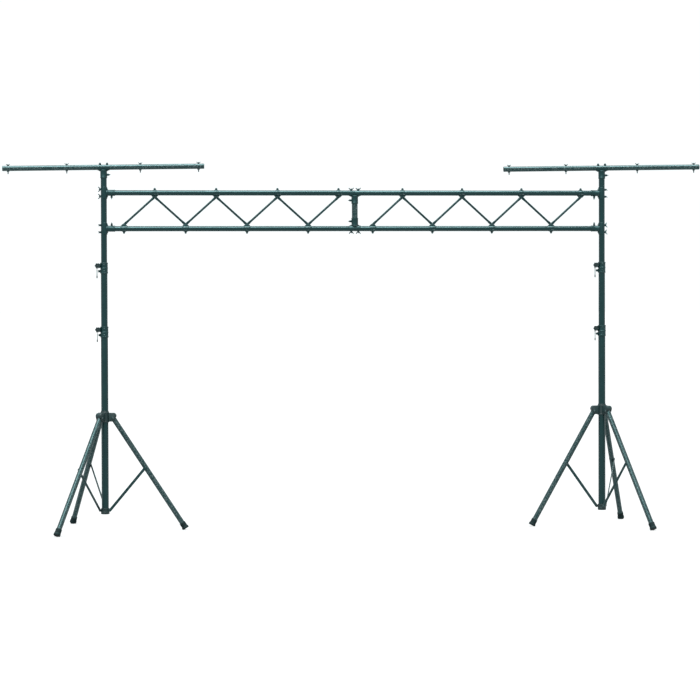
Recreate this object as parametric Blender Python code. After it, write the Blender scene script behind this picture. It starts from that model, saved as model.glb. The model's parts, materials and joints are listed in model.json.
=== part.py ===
"""Lighting truss on two tripod stands.

Each stand has a folding tripod, a three-section telescoping mast with two split clamps and their
safety pins, and a T-bar with four fixture bolts. A two-section laced truss joins the masts.
Metres, +Z up, +X along the truss. The origin is on the floor, under the middle of the object's box.
"""

import math

import bmesh
import bpy
from mathutils import Euler, Matrix, Vector

# ------------------------------------------------------------------ driving dimensions
SPAN = 3.054  # mast axis to mast axis
# The truss's middle, set so that the middle of the whole object's box is on the Z axis: the rear feet
# reach further than the front ones, and the T-bars lean.
TRUSS_X, TRUSS_Y = 0.00055, -0.01620
T_BAR_Z = 2.203
T_BAR_TILT = 0.75  # degrees that each T-bar leans on its mast, with its +X end up
TOP_CHORD_Z = 2.0485
BOTTOM_CHORD_Z = 1.831
UPPER_CLAMP_Z = 1.592
LOWER_CLAMP_Z = 1.204

GAP = 0.0003  # between faces that touch
SLIDE_GAP = 0.0004  # radial, between a sliding tube and what it slides in
SWIVEL_GAP = 0.0010  # radial, where the T-bar's sleeve turns and leans on the mast
MERGE = 0.000003  # points nearer than this become one
FLAT = math.radians(0.3)  # faces at less than this to each other become one

# Mast tubes
TOP_R, MID_R, BASE_R = 0.0183, 0.0200, 0.0217
MAST_WALL = 0.0013
TUBE_SIDES = 12  # of every tube, so that nested ones stay parallel
TOP_TUBE_LENGTH = 1.02
MID_TUBE_LENGTH = 0.99
PIN_HOLE_R = 0.0041
PIN_HOLE_PITCH = 0.12
PIN_HOLES = 3
PIN_HOLE_DEPTH = 0.008  # of the drill, which starts half that outside the tube
TOP_HOLES_DROP = 0.09  # lower chord to the top tube's first hole

# Tripod, in the plane of a leg: A is the leg's pivot on the hub, B the brace's pivot on the foot collar
LEG_R = 0.0157
LEG_WALL = 0.0015
LEG_LENGTH = 0.805  # A to the middle of the foot's end face
LEG_STUB = 0.008  # how far the tube goes on above A
A_RADIUS = 0.050
B_RADIUS = 0.030
B_Z = 0.120
BRACE_ON_LEG = 0.36  # from A along the leg
FOOT_R = 0.0215
FOOT_HEEL = 0.012  # height of the thick part of the foot
FOOT_SKIRT = 0.0025  # how much thinner the rest is
FOOT_LENGTH = 0.042
FOOT_FLOOR = 0.008
FOOT_TRIM = 0.004  # how much of the sole's lowest edge is cut flat
LEFT_SPREAD = 0.490  # mast axis to the middle of the foot's end face
RIGHT_SPREAD = 0.444
INNER_LEG_TURN = 3.9  # degrees that the inner legs point forward of the truss line
LEG_NAMES = {"left": ("inner", "rear", "front"), "right": ("inner", "front", "rear")}

# Hub that slides on the base tube
HUB_R = 0.0275
HUB_TOP, HUB_BOTTOM = 0.042, -0.026
HUB_CHAMFER, HUB_SHOULDER = 0.003, 0.010
CHEEK_IN, CHEEK_OUT = 0.0163, 0.0196
HOUSING_INNER = 0.024  # from the mast's axis
HOUSING_TOP = 0.031
HOUSING_CORNER = 0.018
HOUSING_LIP = 0.010  # height of the outer edge of the mouth, from A
HOUSING_TOE = 0.008  # how far the cheeks reach past A at their lowest
HOUSING_DROP = 0.022
HOUSING_REACH = 0.020  # past A
HOUSING_SHEET = 0.003
PIVOT_R = 0.0031
PIVOT_PAST = 0.003  # how far the pin stands out of each cheek

# Braces
BRACE_HALF_WIDTH = 0.0085
BRACE_IN, BRACE_OUT = 0.0160, 0.0190  # distances from the leg's plane, on its -Y side
LUG_IN, LUG_OUT = 0.0127, 0.0157
LUG_R = 0.006
LUG_ROOT = 0.019  # from the mast's axis
RIVET_R = 0.003
RIVET_HEAD_R = 0.0055
RIVET_HEAD = 0.0024
LEG_RIVET_LOW, LEG_RIVET_HIGH = -0.0012, 0.0018  # from the leg's surface
COLLAR_R = 0.026
COLLAR_TOP, COLLAR_BOTTOM, COLLAR_FLOOR = 0.012, -0.024, 0.004
COLLAR_CHAMFER = 0.003

# Split clamps, knobs and pins, from the clamp's middle on the mast's axis
CLAMP_HALF = 0.033
CLAMP_WALL = 0.0034
CLAMP_STEP_Z = -0.003
EAR_X = -0.0475
EAR_LOW, EAR_HIGH = 0.001, 0.027
EAR_HALF_THICK = 0.010
EAR_CORNER = 0.007
EAR_SUNK = 0.002  # how far the ear and the boss start inside the collar's wall
SLIT = 0.003
STUD_X, STUD_Z, STUD_R = -0.0395, 0.014, 0.004
BOSS_R, BOSS_X, BOSS_Z = 0.007, -0.036, -0.019
TAB_X = -0.0430
TAB_Y = -0.0055
TAB_THICK = 0.003
TAB_HOLE_Z = -0.0035
TAB_R, TAB_HOLE_R = 0.004, 0.0022
KNOB_R = 0.0155
KNOB_LOBE = 0.0015
KNOB_LOBES = 6
KNOB_NEAR, KNOB_FAR = 0.0125, 0.0275  # the head's two faces, in front of the ear's middle
KNOB_NECK_R = 0.0085
STUD_BACK = 0.0085  # how far the stud goes behind the ear's middle
RING_R, RING_WIRE = 0.0065, 0.0011
PIN_R = 0.0036
PIN_LENGTH = 0.049
PIN_TAPER = 0.004
PIN_IN_RING = 0.0035  # how far the pin's end stands up inside the ring

# T-bar and tees
BAR_R, BAR_WALL = 0.016, 0.0016
BAR_LENGTH = 1.22
FIXTURE_X = (-0.575, -0.222, 0.222, 0.575)
FIXTURE_BOLT_R = 0.0034
FIXTURE_BOLT_DROP = 0.019
FIXTURE_BOLT_PAST = 0.010
FIXTURE_NUT_R, FIXTURE_NUT = 0.0072, 0.006
TEE_HALF = 0.036
TEE_WALL = 0.003
TEE_SLEEVE = 0.046
TEE_BOLT_X = 0.0215
TEE_BOLT_R = 0.0030
TEE_SCREW_DEPTH = 0.026  # below the saddle
WEB_HALF_THICK = 0.0025
WEB_SIZE = 0.007
HOLE_SLACK = 0.0005
SADDLE_TOP = 0.0015  # height of a saddle's rims above its run tube's axis
TEE_BOLT_PAST = 0.012  # how far a bolt stands out of the run tube
TEE_HEAD_R, TEE_HEAD = 0.0062, 0.0042
TEE_BOSS_R, TEE_BOSS = 0.007, 0.003
SCREW_STAND_OFF = 0.0004  # between the boss and the lock screw's wings
WING_HUB_R, WING_HUB = 0.0068, 0.0095
WING_ROOT = (0.0055, 0.0012)  # distance from the axis and height of a wing's lower inner corner
WING_TIP_OUT, WING_TIP_IN, WING_TIP_Z = 0.0175, 0.0125, 0.0165
WING_DIP = 0.0075  # height of the notch between the wings
WING_HALF_THICK = 0.0013
WING_TURNS = {-1: 60, 1: 15}  # degrees that a tee's wings stand turned, by the side of its lock screw
FIXTURE_WING_SCALE = 0.75
DOME_R, DOME_RIM, DOME_SHOULDER, DOME_TOP = 0.0078, 0.0075, 0.0108, 0.0130

# Truss
CHORD_R, CHORD_WALL = 0.016, 0.0015
POST_R = 0.018
CHORD_START = TOP_R + TEE_WALL + 0.0012  # mast axis to the chord's end
CHORD_END_GAP = 0.0005  # at the middle of the span
NODE_PITCH = {"left": 0.1866, "right": 0.1836}  # the two sections differ by a few millimetres
NODES = 8
LACE_R = 0.0066
LACE_OFFSET = 0.0245  # chord axis to where two diagonals meet
LACE_PAST = 0.002  # how far a diagonal goes on past that
LACE_SIDES = 6
GUSSET_WIDE, GUSSET_NARROW, GUSSET_HALF_THICK = 0.020, 0.009, 0.0075
GUSSET_DEPTH = 0.011
SEAT_HALF, WASHER_HALF = 0.021, 0.013  # half lengths of the curved seats inside and outside a chord
SEAT_WALL, SEAT_REACH = 0.002, 65  # degrees that a seat goes round to each side
SEAT_STEPS = 4
SPIGOT_HALF = 0.060

# ------------------------------------------------------------------ materials


def paint(name, colour, roughness, metallic):
    material = bpy.data.materials.new(name)
    material.use_nodes = True
    shader = material.node_tree.nodes["Principled BSDF"]
    shader.inputs["Base Color"].default_value = (*colour, 1.0)
    shader.inputs["Roughness"].default_value = roughness
    shader.inputs["Metallic"].default_value = metallic
    material.diffuse_color = (*colour, 1.0)
    return material


# ------------------------------------------------------------------ shapes


def placed(location=(0, 0, 0), turned_deg=(0, 0, 0)):
    """A matrix from a place and Euler angles in degrees."""
    angles = Euler([math.radians(a) for a in turned_deg])
    return Matrix.Translation(location) @ angles.to_matrix().to_4x4()


ALONG_X = placed(turned_deg=(0, 90, 0))  # carries +Z to +X
ALONG_Y = placed(turned_deg=(-90, 0, 0))  # carries +Z to +Y


def solid(bm, matrix=None):
    """A temporary object that holds this mesh."""
    if matrix is not None:
        bmesh.ops.transform(bm, matrix=matrix, verts=bm.verts)
    bmesh.ops.recalc_face_normals(bm, faces=bm.faces)
    mesh = bpy.data.meshes.new("shape")
    bm.to_mesh(mesh)
    bm.free()
    obj = bpy.data.objects.new("shape", mesh)
    bpy.context.scene.collection.objects.link(obj)
    return obj


def lathe(profile, sides, matrix=None, hollow=False):
    """A profile of (radius, z) points turned about Z. A hollow one is a closed loop off the axis."""
    bm = bmesh.new()
    rings = []
    for radius, z in profile:
        if radius == 0:
            rings.append([bm.verts.new((0, 0, z))])
            continue
        ring = []
        for k in range(sides):
            angle = 2 * math.pi * (k + 0.5) / sides
            ring.append(bm.verts.new((radius * math.cos(angle), radius * math.sin(angle), z)))
        rings.append(ring)
    pairs = list(zip(rings, rings[1:]))
    if hollow:
        pairs.append((rings[-1], rings[0]))
    for low, high in pairs:
        for k in range(sides):
            n = (k + 1) % sides
            corners = [low[k % len(low)], low[n % len(low)], high[n % len(high)], high[k % len(high)]]
            bm.faces.new(list(dict.fromkeys(corners)))
    return solid(bm, matrix)


def rod(radius, z0, z1, sides, matrix=None):
    return lathe([(0, z0), (radius, z0), (radius, z1), (0, z1)], sides, matrix)


def tube(outer, inner, z0, z1, sides, matrix=None):
    return lathe([(outer, z0), (outer, z1), (inner, z1), (inner, z0)], sides, matrix, hollow=True)


def arc(centre_x, centre_z, radius, start, end, steps):
    """Points on an arc, with the angles in degrees."""
    angles = [math.radians(start + (end - start) * k / steps) for k in range(steps + 1)]
    return [(centre_x + radius * math.cos(a), centre_z + radius * math.sin(a)) for a in angles]


def plate(outline, y0, y1, matrix=None):
    """An outline of (x, z) points carried from y0 to y1."""
    bm = bmesh.new()
    near = [bm.verts.new((x, y0, z)) for x, z in outline]
    far = [bm.verts.new((x, y1, z)) for x, z in outline]
    bm.faces.new(near)
    bm.faces.new(far[::-1])
    for k in range(len(outline)):
        n = (k + 1) % len(outline)
        bm.faces.new((near[k], far[k], far[n], near[n]))
    return solid(bm, matrix)


def block(low, high):
    (x0, y0, z0), (x1, y1, z1) = low, high
    return plate([(x0, z0), (x1, z0), (x1, z1), (x0, z1)], y0, y1)


def torus(radius, wire, steps, sides, matrix=None):
    """A wire ring about Z."""
    bm = bmesh.new()
    loops = []
    for i in range(steps):
        turn = 2 * math.pi * i / steps
        loop = []
        for k in range(sides):
            angle = 2 * math.pi * (k + 0.5) / sides
            reach = radius + wire * math.cos(angle)
            point = (reach * math.cos(turn), reach * math.sin(turn), wire * math.sin(angle))
            loop.append(bm.verts.new(point))
        loops.append(loop)
    for i in range(steps):
        here, there = loops[i], loops[(i + 1) % steps]
        for k in range(sides):
            n = (k + 1) % sides
            bm.faces.new((here[k], there[k], there[n], here[n]))
    return solid(bm, matrix)


def tidied(mesh):
    """Merges points that all but coincide. Returns whether the mesh is then one closed surface."""
    bm = bmesh.new()
    bm.from_mesh(mesh)
    bmesh.ops.remove_doubles(bm, verts=bm.verts, dist=MERGE)
    bmesh.ops.dissolve_degenerate(bm, edges=bm.edges, dist=MERGE)
    whole = all(len(edge.link_faces) == 2 for edge in bm.edges)
    bm.to_mesh(mesh)
    bm.free()
    return whole


def boolean(obj, others, operation):
    """Applies one Boolean for each of the others, which are then removed.

    The exact solver is used, or the manifold one where the exact one leaves an open edge.
    """
    for other in others:
        for solver in ("EXACT", "MANIFOLD"):
            modifier = obj.modifiers.new("boolean", "BOOLEAN")
            modifier.operation = operation
            modifier.solver = solver
            modifier.object = other
            graph = bpy.context.evaluated_depsgraph_get()
            mesh = bpy.data.meshes.new_from_object(obj.evaluated_get(graph))
            obj.modifiers.clear()
            if tidied(mesh):
                break
        obj.data = mesh
        bpy.data.objects.remove(other)
    return obj


def join(obj, *others):
    return boolean(obj, others, "UNION")


def cut(obj, *others):
    return boolean(obj, others, "DIFFERENCE")


def mesh_of(obj, name, material):
    """Takes the finished mesh from a temporary object, with its flat faces made whole."""
    mesh = obj.data
    bm = bmesh.new()
    bm.from_mesh(mesh)
    bmesh.ops.dissolve_limit(bm, angle_limit=FLAT, verts=bm.verts, edges=bm.edges)
    bm.to_mesh(mesh)
    bm.free()
    bpy.data.objects.remove(obj)
    mesh.name = name
    mesh.materials.clear()
    mesh.materials.append(material)
    mesh.shade_smooth()
    mesh.set_sharp_from_angle(angle=math.radians(35))
    return mesh


def node(name, mesh, parent, matrix=None):
    """A named sub-part, placed in its parent's frame."""
    obj = bpy.data.objects.new(name, mesh)
    bpy.context.scene.collection.objects.link(obj)
    obj.parent = parent
    obj.matrix_basis = matrix if matrix is not None else Matrix.Identity(4)
    return obj


def pivot(name, parent=None, matrix=None):
    """An empty on a joint's axis."""
    empty = bpy.data.objects.new(name, None)
    empty.empty_display_size = 0.03
    bpy.context.scene.collection.objects.link(empty)
    empty.parent = parent
    empty.matrix_basis = matrix if matrix is not None else Matrix.Identity(4)
    return empty


# ------------------------------------------------------------------ fasteners


def wing_bolt(radius, low, nut_z, tip, matrix=None, scale=1.0, turn=0):
    """A shank on Z from low to tip, with a wing nut standing on nut_z. Its wings lie at turn to Y."""
    hub_r, hub_top = WING_HUB_R * scale, nut_z + WING_HUB * scale
    profile = [(0, low), (radius, low), (radius, nut_z), (hub_r, nut_z), (hub_r, hub_top)]
    profile += [(radius, hub_top), (radius, tip), (0, tip)]
    half = [WING_ROOT, (WING_TIP_OUT, WING_TIP_Z), (WING_TIP_IN, WING_TIP_Z)]
    outline = half + [(0, WING_DIP)] + [(-x, h) for x, h in reversed(half)]
    outline = [(x * scale, nut_z + h * scale) for x, h in outline]
    wings = plate(outline, -WING_HALF_THICK, WING_HALF_THICK)
    moved(wings, placed(turned_deg=(0, 0, 90 + turn)))
    bolt = join(lathe(profile, 6), wings)
    return moved(bolt, matrix) if matrix is not None else bolt


def dome_nut(face, matrix):
    """A capped nut standing on the height face, carried by matrix."""
    profile = [(0, face), (DOME_R, face), (DOME_R, face + DOME_RIM), (DOME_R * 0.6, face + DOME_SHOULDER)]
    return lathe([*profile, (0, face + DOME_TOP)], 6, matrix)


def moved(obj, matrix):
    obj.data.transform(matrix)
    return obj


# ------------------------------------------------------------------ mast


def mast_tube(radius, z0, z1, hole_heights):
    """A mast tube with pin holes through its -X wall."""
    body = tube(radius, radius - MAST_WALL, z0, z1, TUBE_SIDES)
    holes = []
    for z in hole_heights:
        start = placed((-radius - PIN_HOLE_DEPTH / 2, 0, z)) @ ALONG_X
        holes.append(rod(PIN_HOLE_R, 0, PIN_HOLE_DEPTH, 6, start))
    return cut(body, *holes)


def cross_holes(body, spots, radius, reach):
    """Bolt holes through both walls. Each spot is the matrix of a bolt's axis."""
    return cut(body, *[rod(radius, -reach, reach, 6, spot) for spot in spots])


# ------------------------------------------------------------------ split clamp, knob and pin


def clamp_body(lower_r, upper_r):
    """The collar fixed on the end of a tube. Its split upper half grips the next tube."""
    outer = lower_r + CLAMP_WALL
    lower_bore, upper_bore = lower_r + GAP, upper_r + SLIDE_GAP
    profile = [
        (outer, -CLAMP_HALF),
        (outer, CLAMP_HALF),
        (upper_bore, CLAMP_HALF),
        (upper_bore, CLAMP_STEP_Z),
        (lower_bore, CLAMP_STEP_Z),
        (lower_bore, -CLAMP_HALF),
    ]
    collar = lathe(profile, TUBE_SIDES, hollow=True)
    start_x = -lower_r - EAR_SUNK
    centre_x = EAR_X + EAR_CORNER
    ear_outline = [(start_x, EAR_LOW), (start_x, EAR_HIGH)]
    ear_outline += arc(centre_x, EAR_HIGH - EAR_CORNER, EAR_CORNER, 90, 180, 4)
    ear_outline += arc(centre_x, EAR_LOW + EAR_CORNER, EAR_CORNER, 180, 270, 4)
    ear = plate(ear_outline, -EAR_HALF_THICK, EAR_HALF_THICK)
    boss = rod(BOSS_R, BOSS_X, start_x, 12, placed((0, 0, BOSS_Z)) @ ALONG_X)
    tab_top = EAR_LOW + 0.002
    tab_outline = [(TAB_X + TAB_R, tab_top), (TAB_X - TAB_R, tab_top)]
    tab_outline += arc(TAB_X, TAB_HOLE_Z, TAB_R, 180, 360, 6)
    tab = plate(tab_outline, TAB_Y - TAB_THICK / 2, TAB_Y + TAB_THICK / 2)
    join(collar, ear, boss, tab)
    slit = block((EAR_X - 0.01, -SLIT / 2, CLAMP_STEP_Z - 0.001), (-upper_r + 0.003, SLIT / 2, 0.05))
    stud_hole = rod(STUD_R + HOLE_SLACK, -0.02, 0.02, 8, placed((STUD_X, 0, STUD_Z)) @ ALONG_Y)
    pin_hole = rod(PIN_HOLE_R, BOSS_X - 0.01, -upper_r + 0.003, 8, placed((0, 0, BOSS_Z)) @ ALONG_X)
    tab_hole = rod(TAB_HOLE_R, -0.01, 0.0, 8, placed((TAB_X, 0, TAB_HOLE_Z)) @ ALONG_Y)
    return cut(collar, slit, stud_hole, pin_hole, tab_hole)


def knob_body():
    """A lobed knob on its stud. The stud lies on Y, and the head is on the -Y side."""
    count = KNOB_LOBES * 4
    outline = []
    for k in range(count):
        angle = 2 * math.pi * k / count
        reach = KNOB_R + KNOB_LOBE * math.cos(KNOB_LOBES * angle)
        outline.append((reach * math.cos(angle), reach * math.sin(angle)))
    head = plate(outline, -KNOB_FAR, -KNOB_NEAR)
    facing_front = placed(turned_deg=(90, 0, 0))
    inside_head = KNOB_NEAR + 0.001
    neck = rod(KNOB_NECK_R, EAR_HALF_THICK + SLIDE_GAP, inside_head, 10, facing_front)
    stud = rod(STUD_R, -STUD_BACK, inside_head, 8, facing_front)
    return join(head, neck, stud)


def pin_body():
    """The safety pin and its ring, hanging from the ring's top at the origin."""
    ring = torus(RING_R, RING_WIRE, 12, 5, placed((0, 0, -RING_R)) @ ALONG_X)
    top = -2 * RING_R + PIN_IN_RING
    profile = [(0, top), (PIN_R, top), (PIN_R, top - PIN_LENGTH + PIN_TAPER)]
    profile += [(PIN_R * 0.45, top - PIN_LENGTH), (0, top - PIN_LENGTH)]
    return join(lathe(profile, 8), ring)


# ------------------------------------------------------------------ tees


def tee_body(run_r, branch_r, screw_side, branch_gap=SLIDE_GAP, spigot=False):
    """A saddle under a run tube that lies on X, with a sleeve down -Z for the branch tube.

    Two bolts go up through the run tube. screw_side is the side of the sleeve, along X, that has
    the lock screw. It is 0 for a bare threaded boss on the +X side and dome nuts on the bolts, and
    the others have wing nuts.
    """
    saddle_r = run_r + TEE_WALL
    bore = run_r + SLIDE_GAP
    saddle = tube(saddle_r, bore, -TEE_HALF, TEE_HALF, TUBE_SIDES, ALONG_X)
    cut(saddle, block((-0.05, -0.05, SADDLE_TOP), (0.05, 0.05, 0.05)))
    sleeve_r = branch_r + TEE_WALL
    bottom = -saddle_r - TEE_SLEEVE
    sleeve = rod(sleeve_r, bottom, -run_r * 0.75, TUBE_SIDES)
    foot = -saddle_r + 0.0012
    webs = []
    for side in (-1, 1):
        edge = sleeve_r - 0.001
        corners = [(edge, foot), (edge + WEB_SIZE, foot), (edge, foot - WEB_SIZE)]
        webs.append(plate([(side * x, z) for x, z in corners], -WEB_HALF_THICK, WEB_HALF_THICK))
    spots = [placed((side * TEE_BOLT_X, 0, 0)) for side in (-1, 1)]
    heads = [rod(TEE_HEAD_R, -saddle_r - TEE_HEAD, -saddle_r + 0.0015, 6, spot) for spot in spots]
    join(saddle, sleeve, *webs, *heads)
    run_bore = rod(bore, -0.06, 0.06, TUBE_SIDES, ALONG_X)
    branch_bore = rod(branch_r + branch_gap, bottom - 0.01, -saddle_r, TUBE_SIDES)
    cut(saddle, run_bore, branch_bore)
    low, seat, tip = -saddle_r - TEE_HEAD / 2, run_r + GAP, run_r + TEE_BOLT_PAST
    bolts = []
    for spot in spots:
        if screw_side:
            bolts.append(wing_bolt(TEE_BOLT_R, low, seat, tip, spot, turn=WING_TURNS[screw_side]))
        else:
            bolts.append(join(rod(TEE_BOLT_R, low, seat + DOME_RIM, 6, spot), dome_nut(seat, spot)))
    if spigot:
        bolts.append(tube(run_r - 0.0023, run_r - 0.0053, -SPIGOT_HALF, SPIGOT_HALF, 6, ALONG_X))
    screw_z = -saddle_r - TEE_SCREW_DEPTH
    side = screw_side or 1
    out = placed((0, 0, screw_z)) @ placed(turned_deg=(0, 90 * side, 0))
    boss = rod(TEE_BOSS_R, sleeve_r - TEE_WALL / 2, sleeve_r + TEE_BOSS, 10, out)
    cut(boss, rod(branch_r + branch_gap + 0.0005, bottom, 0, TUBE_SIDES))
    join(saddle, boss, *bolts)
    if screw_side:
        return join(saddle, moved(screw_body(branch_r, sleeve_r), out))
    return cut(saddle, rod(TEE_BOLT_R + GAP, branch_r - 0.002, 0.04, 10, out))


def screw_body(tube_r, sleeve_r):
    """A wing screw on +Z, from the tube that it grips to its wings."""
    tip = tube_r + SWIVEL_GAP + 0.0002
    seat = sleeve_r + TEE_BOSS + SCREW_STAND_OFF
    return wing_bolt(TEE_BOLT_R, tip, seat, seat + TEE_BOLT_PAST)


# ------------------------------------------------------------------ tripod


def tripod_geometry(spread):
    """In a leg's plane: its angle from the vertical, A's height, and where the brace's pin is."""
    leg = math.asin((spread - A_RADIUS) / LEG_LENGTH)
    end_z = FOOT_R * math.sin(leg) - FOOT_TRIM
    a_z = end_z + LEG_LENGTH * math.cos(leg)
    pin_r = A_RADIUS + BRACE_ON_LEG * math.sin(leg)
    pin_z = a_z - BRACE_ON_LEG * math.cos(leg)
    return leg, a_z, pin_r, pin_z


def brace_length():
    _, _, pin_r, pin_z = tripod_geometry(LEFT_SPREAD)
    return math.hypot(pin_r - B_RADIUS, pin_z - B_Z)


def foot_collar_z(spread):
    """B's height: the braces, of one length, set it."""
    _, _, pin_r, pin_z = tripod_geometry(spread)
    return pin_z - math.sqrt(brace_length() ** 2 - (pin_r - B_RADIUS) ** 2)


def housing_outline(inset):
    """Side view of a leg's housing on the hub, from A. inset takes off the sheet's thickness."""
    inner = HOUSING_INNER - A_RADIUS
    reach, top = HOUSING_REACH - inset, HOUSING_TOP - inset
    corner = HOUSING_CORNER - inset
    outline = [(inner, -HOUSING_DROP), (inner, top)]
    outline += arc(reach - corner, top - corner, corner, 90, 0, 4)
    outline += [(reach, HOUSING_LIP), (HOUSING_TOE, -HOUSING_DROP)]
    return outline


def leg_hub_body(facing):
    """The sliding hub in the frame of its inner leg, which is turned by facing from the mast's tubes."""
    profile = [
        (HUB_R, HUB_BOTTOM),
        (HUB_R, HUB_TOP - HUB_SHOULDER),
        (HUB_R - HUB_CHAMFER, HUB_TOP),
        (BASE_R + SLIDE_GAP, HUB_TOP),
        (BASE_R + SLIDE_GAP, HUB_BOTTOM),
    ]
    hub = lathe(profile, TUBE_SIDES, placed(turned_deg=(0, 0, -facing)), hollow=True)
    for k in range(3):
        housing = plate(housing_outline(0), -CHEEK_OUT, CHEEK_OUT)
        hollow = housing_outline(HOUSING_SHEET)
        hollow[0] = (hollow[0][0] - 0.01, -0.05)
        hollow[1] = (hollow[1][0] - 0.01, hollow[1][1])
        hollow[-1] = (HOUSING_REACH - HOUSING_SHEET, -0.05)
        cut(housing, plate(hollow, -CHEEK_IN, CHEEK_IN))
        join(housing, rod(PIVOT_R, -CHEEK_OUT - PIVOT_PAST, CHEEK_OUT + PIVOT_PAST, 8, ALONG_Y))
        moved(housing, placed(turned_deg=(0, 0, 120 * k)) @ placed((A_RADIUS, 0, 0)))
        cut(housing, rod(BASE_R + 0.002, -0.1, 0.1, TUBE_SIDES))
        join(hub, housing)
    return hub


def leg_body():
    """A leg that hangs down -Z from its pivot, with the hole for the hub's pin on Y."""
    end = -LEG_LENGTH + FOOT_FLOOR + GAP
    body = tube(LEG_R, LEG_R - LEG_WALL, end, LEG_STUB, TUBE_SIDES)
    cut(body, rod(PIVOT_R + HOLE_SLACK, -0.03, 0.03, 8, ALONG_Y))
    at_brace = placed((0, 0, -BRACE_ON_LEG)) @ ALONG_Y
    head = rod(RIVET_HEAD_R, LEG_R + LEG_RIVET_LOW, LEG_R + LEG_RIVET_HIGH, 8, at_brace)
    return join(body, head)


def foot_body(leg_angle):
    """A rubber cap on the leg's end, in the leg's frame, with the edge that meets the floor cut flat."""
    end = -LEG_LENGTH
    profile = [
        (0, end),
        (FOOT_R, end),
        (FOOT_R, end + FOOT_HEEL),
        (FOOT_R - FOOT_SKIRT, end + FOOT_HEEL + FOOT_SKIRT),
        (FOOT_R - FOOT_SKIRT, end + FOOT_LENGTH),
        (LEG_R + GAP, end + FOOT_LENGTH),
        (LEG_R + GAP, end + FOOT_FLOOR),
        (0, end + FOOT_FLOOR),
    ]
    foot = lathe(profile, TUBE_SIDES)
    floor_z = -(LEG_LENGTH * math.cos(leg_angle) + FOOT_R * math.sin(leg_angle) - FOOT_TRIM)
    ground = block((-0.1, -0.1, floor_z - 0.1), (0.1, 0.1, floor_z))
    moved(ground, placed((LEG_LENGTH * math.sin(leg_angle), 0, 0)))
    moved(ground, Matrix.Rotation(leg_angle, 4, "Y"))
    return cut(foot, ground)


def brace_body():
    """A flat strap up +Z from its pivot, beside the leg, with a rivet head where it meets the leg."""
    length = brace_length()
    outline = arc(0, 0, BRACE_HALF_WIDTH, 180, 360, 5)
    outline += arc(0, length, BRACE_HALF_WIDTH, 0, 180, 5)
    strap = plate(outline, -BRACE_OUT, -BRACE_IN)
    cut(strap, rod(RIVET_R + HOLE_SLACK, -BRACE_OUT - 0.01, -BRACE_IN + 0.01, 8, ALONG_Y))
    head_end = BRACE_OUT + RIVET_HEAD
    head = rod(RIVET_HEAD_R, -head_end, -BRACE_OUT + 0.001, 8, placed((0, 0, length)) @ ALONG_Y)
    return join(strap, head)


def foot_collar_body(facing):
    """The cap on the base tube's lower end, with a lug and a rivet for each brace, in the hub's frame."""
    profile = [
        (0, COLLAR_BOTTOM),
        (COLLAR_R - COLLAR_CHAMFER, COLLAR_BOTTOM),
        (COLLAR_R, COLLAR_BOTTOM + COLLAR_CHAMFER),
        (COLLAR_R, COLLAR_TOP),
        (BASE_R + GAP, COLLAR_TOP),
        (BASE_R + GAP, COLLAR_BOTTOM + COLLAR_FLOOR),
        (0, COLLAR_BOTTOM + COLLAR_FLOOR),
    ]
    collar = lathe(profile, TUBE_SIDES, placed(turned_deg=(0, 0, -facing)))
    parts = []
    for k in range(3):
        around = placed(turned_deg=(0, 0, 120 * k))
        outline = arc(B_RADIUS, 0, LUG_R, -90, 90, 4) + [(LUG_ROOT, LUG_R), (LUG_ROOT, -LUG_R)]
        lug = plate(outline, -LUG_OUT, -LUG_IN)
        at_b = placed((B_RADIUS, 0, 0), (90, 0, 0))
        pin = rod(RIVET_R, (LUG_IN + LUG_OUT) / 2, BRACE_OUT + RIVET_HEAD / 2, 8, at_b)
        head = rod(RIVET_HEAD_R, BRACE_OUT + GAP, BRACE_OUT + GAP + RIVET_HEAD, 8, at_b)
        join(lug, pin, head)
        parts.append(moved(lug, around))
    return join(collar, *parts)


# ------------------------------------------------------------------ truss


def node_spots(side):
    """Distances from the outer mast's axis to the lacing's nodes, centred on a section's tubes."""
    middle = (CHORD_START + SPAN / 2 - CHORD_END_GAP) / 2
    return [middle + (k - (NODES - 1) / 2) * NODE_PITCH[side] for k in range(NODES)]


def chord_body(spots, mirrored):
    """A chord along +X from its mast's axis, or along -X when mirrored."""
    body = tube(CHORD_R, CHORD_R - CHORD_WALL, CHORD_START, SPAN / 2 - CHORD_END_GAP, TUBE_SIDES, ALONG_X)
    places = [*spots, SPAN / 2 - TEE_BOLT_X]
    cross_holes(body, [placed((x, 0, 0)) for x in places], TEE_BOLT_R + HOLE_SLACK, 0.03)
    if mirrored:
        moved(body, placed(turned_deg=(0, 0, 180)))
    return body


def seat_body(half_length, matrix):
    """A curved seat under a chord that lies on X, carried by matrix."""
    start, end = 270 - SEAT_REACH, 270 + SEAT_REACH
    half_step = math.radians((end - start) / SEAT_STEPS / 2)
    inner = (CHORD_R + GAP) / math.cos(half_step)  # so that its flats clear the chord
    outline = arc(0, 0, inner + SEAT_WALL, start, end, SEAT_STEPS) + arc(0, 0, inner, end, start, SEAT_STEPS)
    return plate(outline, -half_length, half_length, matrix @ placed(turned_deg=(0, 0, 90)))


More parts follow.
